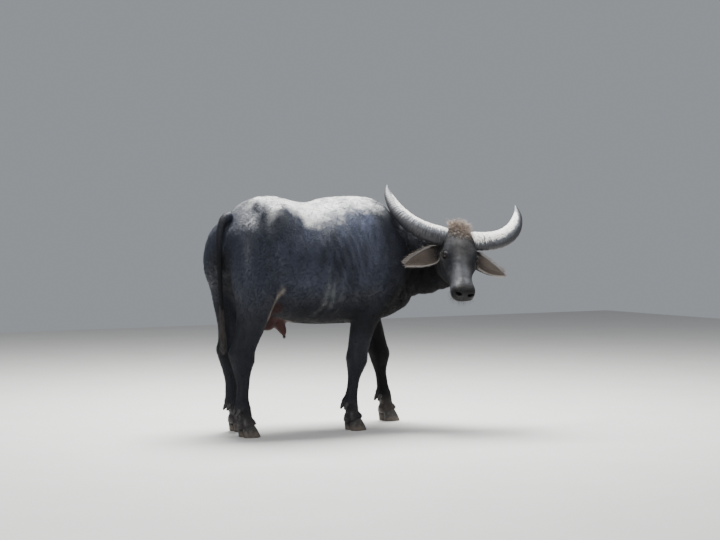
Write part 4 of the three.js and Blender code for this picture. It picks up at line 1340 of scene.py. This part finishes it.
# %% Claws and dewclaws
CLAW = padded([
    (-0.005, 0, 0.070, 0.0215, 0.031, 0.037, 2.4),
    (-0.001, 0, 0.055, 0.024, 0.038, 0.042, 2.4),
    (0.006, 0, 0.032, 0.026, 0.047, 0.046, 2.5),
    (0.013, 0, 0, 0.028, 0.054, 0.048, 2.6),
])
DEWCLAW = padded([
    (0.018, 0, 0.018, 0.008, 0.008, 0.008),
    (0.009, 0, 0.011, 0.0125, 0.012, 0.012),
    (0.002, 0, 0.001, 0.013, 0.012, 0.0115, 2.2),
    (-0.005, 0, -0.011, 0.0105, 0.009, 0.0085, 2.2),
    (-0.010, 0, -0.020, 0.007, 0.006, 0.0055, 2.2),
    (-0.0125, 0, -0.0245, 0.003, 0.0025, 0.0025),
])
CLAW_APART, DEWCLAW_APART, DEWCLAW_BEHIND, DEWCLAW_HEIGHT = 0.029, 0.021, 0.042, 0.148


def claw(place, toe_in):
    """Wall of a claw: level rings down the table, each a little larger or smaller by the growth rings, with
    the toe drawn in towards the gap and the sole's edge rounded."""
    sections = rings(CLAW, 44, 48, level=(0, 0, -1))
    t = np.linspace(0, 1, 44)[:, None]
    middle = sections.mean(1, keepdims=True)
    growth = 1 + 0.010 * np.sin(2 * np.pi * (7 * t + 0.4 * t * t)) * ramp(t, 0.25, 0.45)
    edge = np.where(t > 0.93, 1 - 0.05 * ((t - 0.93) / 0.07) ** 2, 1.0)
    sections = middle + (sections - middle) * (growth * edge)[..., None]
    sections[..., 2] = np.maximum(sections[..., 2], 0)
    sections[..., 1] += toe_in * 0.006 * ramp(sections[..., 0], 0.015, 0.065)
    return tube(sections + place)


claw_finish = Finish("muddy_claw", Specular_IOR_Level=0.35)
place = claw_finish.place()
height = claw_finish.part(place, "Z")
grain = claw_finish.noise(place, 120, 4, 0.65, (1, 1, 0.3))
dirt = claw_finish.noise(place, 40, 5, 0.6)
bands = (height * 900 + dirt * 4).sine()
horny = claw_finish.mix(grain, (0.008, 0.008, 0.009), (0.040, 0.037, 0.036))
muddy = claw_finish.mix(grain, (0.070, 0.056, 0.045), (0.125, 0.102, 0.084))
soil = (dirt * 1.3 - height * 7).step(0.25, 0.62)
claw_material = claw_finish.done(
    Base_Color=claw_finish.shade(claw_finish.mix(soil * 0.8, horny, muddy), 0.95 + bands * 0.04),
    Roughness=0.45 + dirt * 0.35,
    Normal=claw_finish.bump(bands * 0.14 + grain * 0.8, 0.0008, 0.6),
)
for name, (side, rows) in LEGS.items():
    (hoof_x, hoof_y), (fetlock_x, fetlock_y) = rows[-1][:2], rows[FETLOCK_ROW][:2]
    for hand, outwards in (("outer", side), ("inner", -side)):
        foot_place = np.array([hoof_x + 0.004, hoof_y + outwards * CLAW_APART, 0]) + SHIFT
        spot = [fetlock_x - DEWCLAW_BEHIND, fetlock_y + outwards * DEWCLAW_APART, DEWCLAW_HEIGHT]
        small = tube(rings(DEWCLAW, 20, 20) + np.array(spot) + SHIFT)
        large = claw(foot_place, -outwards)
        for made, solid, geometry in (("hoof", "claw", large), ("small_hoof", "dewclaw", small)):
            piece = hard_piece(f"{made}_{name}_{hand}", geometry, claw_material)
            add_to_object(piece, [f"{solid}_{name}_{hand}"])

# %% [markdown]
# ## An unwrap for the coat
# The coat's pieces are thousands of small locks, and a picture of their colour needs a flat map.
# The hide is unwrapped once, and each lock gets a tiny patch of that map at the place where it grows.

# %% Unwrap of the hide
bpy.context.view_layer.objects.active = skin
skin.select_set(True)
skin.data.uv_layers.new(name="OFBake")
bpy.ops.object.mode_set(mode="EDIT")
bpy.ops.mesh.select_all(action="SELECT")
bpy.ops.uv.smart_project(angle_limit=math.radians(66), island_margin=0.002)
bpy.ops.object.mode_set(mode="OBJECT")
mesh = skin.data
mesh.calc_loop_triangles()
corners, loops = (np.empty((len(mesh.loop_triangles), 3), np.int32) for _ in range(2))
mesh.loop_triangles.foreach_get("vertices", corners.ravel())
mesh.loop_triangles.foreach_get("loops", loops.ravel())
flat_map = np.empty((len(mesh.loops), 2), np.float32)
mesh.uv_layers["OFBake"].data.foreach_get("uv", flat_map.ravel())
skin_places, _ = read_mesh(mesh)
skin_normals = normals(mesh)
print("hide unwrapped:", len(corners), "triangles")

# %% [markdown]
# ## Which way the hair lies
# Hair starts at the whorl on the forehead, runs back over the neck and trunk, bends down over the flanks and
# straight down the legs. The direction is again a function of place, and each lock follows it, pressed into
# the plane of the skin.

# %% Lie of the hair
def lie_of_hair(points, outward):
    """Unit directions along the skin, mixed from those of the neck, the trunk, the legs and the face."""
    count = len(points)
    t, away, _ = path_place(points, NECK, 60)
    neck_way = unit(along(NECK, t - 0.02)[:, :3] - along(NECK, t + 0.02)[:, :3]) + [0, 0, -0.5]
    trunk_way = np.tile([-0.9, 0, -0.35], (count, 1)) + outward * [0, 0, -0.5]
    leg_way = np.tile([-0.18, 0, -1.0], (count, 1))
    head = to_head(points)
    face_way = unit((head - [0.12, 0, 0]) * [1, 1.3, 0.7]) @ HEAD_TURN.T
    on_face = ramp(near(head, HEAD_MIDDLE, [0.33, 0.2, 0.22]), 1.1, 0.9)[:, None]
    on_neck = (ramp(t, 0.12, 0.3) * ramp(away, 0.36, 0.26))[:, None]
    on_leg = ramp(points[:, 2], 0.95, 0.6)[:, None]
    way = trunk_way + on_neck * (neck_way - trunk_way)
    way = way + on_leg * (leg_way - way)
    way = way + on_face * (face_way - way)
    on_tail = ramp(path_place(points, TAIL, 60)[1], 0.034, 0.026)[:, None] * ramp(points[:, :1], -0.57, -0.6)
    way = way + on_tail * ([0, 0, -1] - way)
    on_ear = (ramp(np.abs(head[:, 1]), 0.11, 0.13) * (np.linalg.norm(head, axis=1) < 0.5))[:, None]
    ear_way = np.stack([np.full(count, 0.25), np.sign(head[:, 1]), np.full(count, -0.2)], 1) @ HEAD_TURN.T
    way = way + on_ear * (ear_way - way)
    way = way - outward * np.sum(way * outward, axis=1, keepdims=True)
    return unit(way)


# %% [markdown]
# ## Locks of hair
# A lock is a thin tapering blade with three sides. Its middle line is a short path that starts just under
# the skin and ends at a point, and all locks of a piece are made at once from one array of such paths.

# %% Locks along paths
def blades(paths, across, widths, thickness, taper):
    """Three-sided blades on paths of shape (locks, points, 3): at every point but the last, a flat triangle
    whose base lies across and whose top is out from the skin, times the taper; the last point is the tip."""
    count, points = paths.shape[:2]
    ahead = unit(np.gradient(paths, axis=1))
    sideways = unit(across[:, None] - ahead * np.sum(across[:, None] * ahead, axis=2, keepdims=True))
    over = np.cross(ahead, sideways)
    size = widths[:, None, None] * np.asarray(taper)[None, :, None]
    base = paths - over * size * thickness / 3
    top = paths + over * size * thickness * 2 / 3
    ring = np.stack([base - sideways * size / 2, base + sideways * size / 2, top], axis=2)[:, :-1]
    vertices = np.concatenate([ring.reshape(count, -1, 3), paths[:, -1:]], axis=1)
    each = vertices.shape[1]
    i, j = grid(points - 2, 3)
    k = (j + 1) % 3
    quads = np.stack([i * 3 + j, i * 3 + k, i * 3 + 3 + k, i * 3 + 3 + j], 1)
    last = (points - 2) * 3
    tips = np.array([[last + a, last + b, last + 3] for a, b in ((0, 1), (1, 2), (2, 0))] + [[0, 2, 1]])
    starts = (np.arange(count) * each)[:, None, None]
    return vertices.reshape(-1, 3), (quads + starts).reshape(-1, 4), (tips + starts).reshape(-1, 3), each


PATCH = 0.003  # side of a lock's patch, as a share of the map


def coat_piece(name, material, geometry, root_map, colour, tip_light):
    """A coat piece from blades: the marking's colour for each lock, lighter at its tip, and its own small
    patch of the hide's map."""
    vertices, quads, triangles, each = geometry
    piece = make_mesh(name, vertices, quads, triangles)
    steps = (each - 1) // 3
    up = np.append(np.repeat(np.arange(steps), 3), steps) / steps
    shade = 1 + (tip_light - 1) * up
    store_colour(piece, (colour[:, None] * shade[:, None]).reshape(-1, 3))
    across = np.append(np.tile([-0.5, 0.5, 0.0], steps), 0.0)
    patch = (root_map[:, None] + PATCH * np.stack([across, up - 0.5], 1)).reshape(-1, 2)
    order = np.empty(len(piece.data.loops), np.int32)
    piece.data.loops.foreach_get("vertex_index", order)
    layer = piece.data.uv_layers.new(name="OFBake")
    layer.data.foreach_set("uv", patch[order].astype(np.float32).ravel())
    piece.data.materials.append(material)
    add_to_object(piece)
    return piece


# %% Roots scattered over the hide
TRIANGLE_MIDDLES = skin_places[corners].mean(1) - SHIFT
FIRST, SECOND = (skin_places[corners[:, k]] - skin_places[corners[:, 0]] for k in (1, 2))
TRIANGLE_AREAS = np.linalg.norm(np.cross(FIRST, SECOND), axis=1) / 2
SHEET_PART = corners.max(1) >= BODY_VERTICES
TAIL_PART = SHEET_PART & (corners.max(1) < BODY_VERTICES + TAIL_VERTICES)
EAR_BACK = (corners.min(1) >= EAR_START) & (EAR_DATA[1][corners].max(1) == 0)


def scatter(count, density, seed):
    """Random roots: triangles drawn by area times density, and a random place in each. Gives the places, the
    normals, the places on the flat map, and the hide's marking there."""
    draw = np.random.default_rng(seed)
    weight = TRIANGLE_AREAS * density
    chosen = np.searchsorted(np.cumsum(weight), draw.uniform(0, weight.sum(), count)).clip(0, len(weight) - 1)
    a, b = draw.uniform(size=(2, count))
    flip = a + b > 1
    a, b = np.where(flip, 1 - a, a), np.where(flip, 1 - b, b)
    shares = np.stack([1 - a - b, a, b], 1)[..., None]
    place, outward, colour = (
        (values[corners[chosen]] * shares).sum(1) for values in (skin_places, skin_normals, skin_colour)
    )
    return place, unit(outward), (flat_map[loops[chosen]] * shares).sum(1), colour


ROOT_DEPTH = 0.0012


def short_coat(name, count, density, length, width, seed, lift=0.16):
    """Short locks lying along the body: each rises at a low angle, steeply near its root and flatter towards
    its tip.
    """
    place, outward, spot, colour = scatter(count, density, seed)
    draw = np.random.default_rng(seed + 1)
    points = place - SHIFT
    way = lie_of_hair(points, outward)
    side = np.cross(outward, way)
    way = unit(way + side * draw.normal(0, 0.22, (count, 1)))
    long = length(points) if callable(length) else np.full(count, length)
    long = (long * draw.uniform(0.65, 1.3, count))[:, None]
    wide = width * draw.uniform(0.7, 1.35, count) * (long[:, 0] / long.mean()) ** 0.3
    rise = lift * draw.uniform(0.5, 1.5, (count, 1))
    root = place - outward * ROOT_DEPTH
    middle = place + way * long * 0.5 + outward * long * rise * 0.8
    tip = place + way * long + outward * long * rise + side * long * draw.normal(0, 0.1, (count, 1))
    paths = np.stack([root, middle, tip], 1)
    tone = colour * draw.uniform(0.75, 1.75, (count, 1))
    geometry = blades(paths, side, wide, 0.35, [1, 0.75, 0])
    coat_piece(name, coat_material, geometry, spot, tone, 1.25)


coat_finish = Finish("short_coat", Specular_IOR_Level=0.25)
marking = coat_finish.attribute("marking", "Color")
grain = coat_finish.noise(coat_finish.place(), 180, 2)
coat_material = coat_finish.done(
    Base_Color=coat_finish.shade(marking, 0.8 + grain * 0.4),
    Roughness=0.40 + grain * 0.2 + coat_finish.matt_where_dark(marking, 0.38),
    Normal=coat_finish.bump(grain, 0.0004, 0.5),
)

# %% Regions of the coat
x, y, z = TRIANGLE_MIDDLES.T
triangle_head = to_head(TRIANGLE_MIDDLES)
HEAD_SHARE = ramp(off_head(triangle_head), 1.0, 0.92)
NECK_SHARE = ramp(path_place(TRIANGLE_MIDDLES, NECK, 60)[0], 0.16, 0.24) * (z > 0.7) * (x > 0.4)
NECK_SHARE = NECK_SHARE * (1 - HEAD_SHARE)
LEG_SHARE = ramp(z, 0.68, 0.62) * (1 - HEAD_SHARE)
BARE = (near(TRIANGLE_MIDDLES, [-0.28, 0, 0.62], [0.12, 0.09, 0.11]) < 1) | (z < 0.06)
trunk_share = (1 - HEAD_SHARE) * (1 - NECK_SHARE) * (1 - LEG_SHARE) * ~BARE * ~SHEET_PART
leg_share = LEG_SHARE * ~BARE * ~SHEET_PART
for side, name in SIDES:
    mine = y * side > 0
    for part, there, seed in (("barrel_", x > -0.12, 20), ("quarter_", x <= -0.12, 25)):
        short_coat("coat_" + part + name, 16500, trunk_share * mine * there, 0.0165, 0.0017, seed + side)
    for part, there, seed in (("foreleg_", x > 0, 30), ("hindleg_", x < 0, 40)):
        short_coat("coat_" + part + name, 6500, leg_share * mine * there, 0.014, 0.0013, seed + side, 0.11)
short_coat("coat_neck", 13000, NECK_SHARE * ~SHEET_PART, 0.019, 0.0018, 50, lift=0.2)
short_coat("coat_tail", 3500, 1.0 * TAIL_PART, 0.013, 0.0013, 54, lift=0.12)
short_coat("coat_ears", 5000, 1.0 * EAR_BACK, 0.010, 0.0010, 56)
off_eye = ramp(near(mirrored(triangle_head), [0.186, 0.098, -0.04], [0.026, 0.02, 0.02]), 0.95, 1.1)
off_muzzle = ramp(triangle_head[:, 0], 0.43, 0.40)
OUTER_LID = 9  # the lid carries hair from this point of its profile on
lid_column = (corners.min(1) - BODY_VERTICES - TAIL_VERTICES) % len(LID_PROFILE)
on_lid = SHEET_PART & ~TAIL_PART & (corners.max(1) < EAR_START) & (lid_column >= OUTER_LID)
head_share = HEAD_SHARE * off_muzzle * np.where(on_lid, 1.0, off_eye * ~SHEET_PART)


def face_length(points):
    """Hair of the head: 8 mm down the nose, up to 6 mm longer at the poll and 4 mm under the jaw."""
    head = to_head(points)
    return 0.008 + 0.006 * ramp(head[:, 0], 0.28, -0.02) + 0.004 * ramp(head[:, 2], -0.14, -0.22)


short_coat("coat_head", 18500, head_share, face_length, 0.0010, 60, lift=0.12)

# %% [markdown]
# ## Long hair
# Hair is long in only a few places: the tuft on the poll between the horns, the fringe of the ears, the
# switch of the tail, the lashes, the whiskers of the muzzle and the tuft of the sheath. Each strand's path
# is its root plus a straight part plus a bend that grows with the square of the way along it.

# %% Strands with a bend
ASLANT = np.array([0.3, 0.5, 0.8])  # a direction that no strand takes


def nearest_spots(points):
    """Flat-map places of the hide's triangles nearest to some points, found in slices."""
    thin = slice(None, None, 7)
    middles, marks = TRIANGLE_MIDDLES[thin], flat_map[loops[thin]].mean(1)
    nearest = [((middles - part[:, None]) ** 2).sum(2).argmin(1) for part in np.array_split(points, 12)]
    return marks[np.concatenate(nearest)]


def long_coat(name, roots, ways, bends, lengths, widths, colours, steps=4, on_head=True):
    """A piece of long strands with the paths root + length (way s + bend s^2), s from 0 to 1. Roots, ways and
    bends are in the head's frame, or in the animal's."""
    if on_head:
        roots, ways, bends = from_head(roots), ways @ HEAD_TURN.T, bends @ HEAD_TURN.T
    s = np.linspace(0, 1, steps)[:, None]
    bent = ways[:, None] * s + bends[:, None] * s**2
    paths = (roots + SHIFT)[:, None] + lengths[:, None, None] * bent
    across = unit(np.cross(ways, ASLANT))
    taper = np.linspace(1, 0.35, steps) ** 0.8
    geometry = blades(paths, across, widths, 0.4, taper)
    return coat_piece(name, long_material, geometry, nearest_spots(roots), colours, 1.3)


def varied(draw, count, colour, darkest, palest):
    """One colour for each strand, made darker or paler by a random share."""
    return np.array(colour) * draw.uniform(darkest, palest, (count, 1))


long_finish = Finish("long_hair", Specular_IOR_Level=0.4)
marking = long_finish.attribute("marking", "Color")
grain = long_finish.noise(long_finish.place(), 240, 2)
long_material = long_finish.done(
    Base_Color=long_finish.shade(marking, 0.75 + grain * 0.5),
    Roughness=0.45 + grain * 0.15,
    Normal=long_finish.bump(grain, 0.0004, 0.5),
)

# %% Tuft on the poll
draw = np.random.default_rng(71)
count = 2400
spread, row = draw.uniform(-1, 1, count), draw.uniform(0, 1, count)
roots = np.stack([-0.030 + 0.120 * row, 0.056 * spread, 0.006 - 0.010 * row - 0.012 * spread**2], 1)
ways = np.stack([
    -0.75 + 1.75 * row + draw.normal(0, 0.2, count),
    0.4 * spread + draw.normal(0, 0.2, count),
    1.1 - 0.75 * row,
], 1)
bends = np.stack([
    0.3 + draw.normal(0, 0.1, count),
    0.2 * spread + draw.normal(0, 0.12, count),
    -0.35 + draw.normal(0, 0.1, count),
], 1)
lengths = draw.uniform(0.034, 0.070, count) * (1.1 - 0.5 * row) * (1 - 0.3 * spread**2)
tones = varied(draw, count, (0.31, 0.255, 0.215), 0.5, 1.6)
tones = tones * np.where(draw.uniform(size=(count, 1)) < 0.15, 0.45, 1.0)
long_coat("poll_tuft", roots, unit(ways), bends, lengths, draw.uniform(0.0011, 0.0023, count), tones, 6)

# %% Fringe of the ears
for side, name in SIDES:
    sheet, opening = ear_sheet(side)
    rows, columns = sheet.shape[:2]
    draw = np.random.default_rng(80 + side)
    count = 1400
    u = draw.uniform(0.16, 0.985, count)
    edge = draw.uniform(size=count) < 0.5
    v = np.where(edge, draw.uniform(0.0, 0.10, count), draw.uniform(0.90, 1.0, count))
    deep = draw.uniform(size=count) < 0.4
    v = np.where(deep, draw.uniform(0.12, 0.88, count), v)
    i, j = (u * (rows - 1)).astype(int), (v * (columns - 1)).astype(int)
    roots = sheet[i, j]
    outwards = unit(roots - sheet[i].mean(1)) * np.where(deep, -0.35, 0.55)[:, None]
    along_ear = unit(sheet[np.minimum(i + 2, rows - 1)].mean(1) - sheet[np.maximum(i - 2, 0)].mean(1))
    ways = unit(along_ear * 0.75 + outwards + opening[i] * draw.uniform(0.1, 0.55, (count, 1)))
    bends = along_ear * 0.35 + draw.normal(0, 0.12, (count, 3))
    lengths = draw.uniform(0.014, 0.030, count) * np.where(deep, 0.8, 1.0)
    pale = varied(draw, count, (0.30, 0.27, 0.24), 0.5, 1.5)
    dark = varied(draw, count, (0.07, 0.05, 0.04), 0.6, 1.6)
    tones = np.where((deep | (draw.uniform(size=count) < 0.3))[:, None], dark + pale * 0.25, pale)
    long_coat("ear_fringe_" + name, roots, ways, bends, lengths, draw.uniform(0.0006, 0.0012, count), tones)

# %% Switch of the tail
SWITCH_END = 0.452
draw = np.random.default_rng(91)
count = 900
t = draw.uniform(0.74, 0.995, count)
turn = draw.uniform(0, 2 * np.pi, count)
ring_out = np.stack([np.cos(turn), np.sin(turn), np.zeros(count)], 1)
roots = along(TAIL, t)[:, :3] + ring_out * draw.uniform(0.001, 0.006, (count, 1))
ways = unit(ring_out * draw.uniform(0.02, 0.16, (count, 1)) + np.array([0.015, 0, -1.0]))
bends = -ring_out * draw.uniform(0.0, 0.10, (count, 1)) + draw.normal(0, 0.02, (count, 3))
lengths = draw.uniform(0.10, 0.17, count) * (0.75 + 0.25 * ramp(t, 0.74, 0.85))
lengths = np.minimum(lengths, roots[:, 2] - SWITCH_END)
tones = varied(draw, count, (0.020, 0.017, 0.017), 0.5, 2.0)
widths = draw.uniform(0.0022, 0.0042, count)
piece = long_coat("tail_switch_hair", roots, ways, bends, lengths, widths, tones, 7, on_head=False)
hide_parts("tail_switch")

# %% Lashes and whiskers
for side, name in SIDES:
    centre, gaze, long, high = eye_frame(side)
    draw = np.random.default_rng(101 + side)
    count = 90
    s = draw.uniform(0.12, 0.88, count) * np.pi
    a, b = HALF_LONG * np.cos(s), HALF_HIGH * np.sin(s) * (0.72 + 0.28 * np.sin(s))
    length = np.hypot(a, b)
    angle = length + math.radians(3)
    rise = (a / length)[:, None] * long + (b / length)[:, None] * high
    roots = centre + (EYE_RADIUS + 0.001) * (np.cos(angle)[:, None] * gaze + np.sin(angle)[:, None] * rise)
    ways = unit(gaze * 0.9 + rise * 0.5 - high * 0.15 + draw.normal(0, 0.1, (count, 3)))
    bends = high * 0.35 + draw.normal(0, 0.08, (count, 3))
    tones = varied(draw, count, (0.012, 0.011, 0.012), 0.6, 1.6)
    lengths = draw.uniform(0.010, 0.019, count)
    long_coat("lashes_" + name, roots, ways, bends, lengths, np.full(count, 0.0008), tones)
draw = np.random.default_rng(111)
count = 220
turn, reach = draw.uniform(-2.9, -0.25, count), draw.uniform(0.385, 0.455, count)
last = len(SKULL) - 1
table = along(SKULL, np.interp(reach, [row[0] for row in SKULL], np.arange(last + 1)) / last)
roots = np.stack([reach, np.cos(turn) * table[:, 3], table[:, 2] + np.sin(turn) * table[:, 5]], 1)
out = unit(roots - np.stack([reach - 0.03, np.zeros(count), table[:, 2]], 1))
ways = unit(out + draw.normal(0, 0.2, (count, 3)))
tones = varied(draw, count, (0.05, 0.045, 0.045), 0.4, 2.5)
droop = np.tile([0, 0, -0.25], (count, 1)) @ HEAD_TURN
lengths = draw.uniform(0.016, 0.040, count)
long_coat("whiskers", roots - 0.004 * out, ways, droop, lengths, np.full(count, 0.0007), tones)

# %% Tuft of the sheath
draw = np.random.default_rng(121)
count = 90
roots = np.array([-0.209, 0, 0.545]) + draw.normal(0, 0.004, (count, 3))
ways = unit(np.array([0.12, 0, -1.0]) + draw.normal(0, 0.12, (count, 3)))
tones = varied(draw, count, (0.03, 0.022, 0.02), 0.5, 1.6)
bends = draw.normal(0, 0.1, (count, 3))
lengths = draw.uniform(0.008, 0.020, count)
long_coat("sheath_tuft", roots, ways, bends, lengths, np.full(count, 0.0010), tones, on_head=False)

# %% The skin joins the object
add_to_object(skin, FLESH_NODES)

# %% [markdown]
# ## Floor and light
# A plain pale floor and soft lamps, as in a photo studio: one large lamp overhead, a little to the far side,
# for the shape, a broad one beside the camera so that the dark hide keeps its detail, a weak one in front,
# and a pale sky.

# %% Studio
floor_corners = np.array([(-9, -9, 0), (9, -9, 0), (9, 9, 0), (-9, 9, 0)], float)
floor = make_mesh("floor", floor_corners, np.array([[0, 1, 2, 3]]), NO_TRIANGLES)
floor_finish = Finish("pale_floor", Roughness=0.8)
spots = floor_finish.noise(floor_finish.place(), 2.5, 4)
plain = floor_finish.mix(spots, (0.53, 0.52, 0.50), (0.59, 0.58, 0.56))
floor.data.materials.append(floor_finish.done(Base_Color=plain))


def lamp(name, place, target, size, power):
    """A square area lamp at a place, turned to a target."""
    light = bpy.data.objects.new(name, bpy.data.lights.new(name, "AREA"))
    light.data.shape, light.data.size, light.data.energy = "SQUARE", size, power
    light.location = place
    light.rotation_euler = (Vector(target) - Vector(place)).to_track_quat("-Z", "Y").to_euler()
    bpy.context.scene.collection.objects.link(light)


lamp("overhead", (0.3, 1.3, 4.8), (0, 0, 0.9), 2.6, 1100)
lamp("camera_side", (-5.0, -5.2, 4.2), (0, 0, 0.9), 2.6, 430)
lamp("front", (4.5, -3.5, 2.6), (0, 0, 0.9), 2.5, 60)
world = bpy.data.worlds.new("studio")
world.use_nodes = True
world.node_tree.nodes["Background"].inputs["Color"].default_value = (0.88, 0.93, 1.0, 1)
world.node_tree.nodes["Background"].inputs["Strength"].default_value = 0.34
bpy.context.scene.world = world
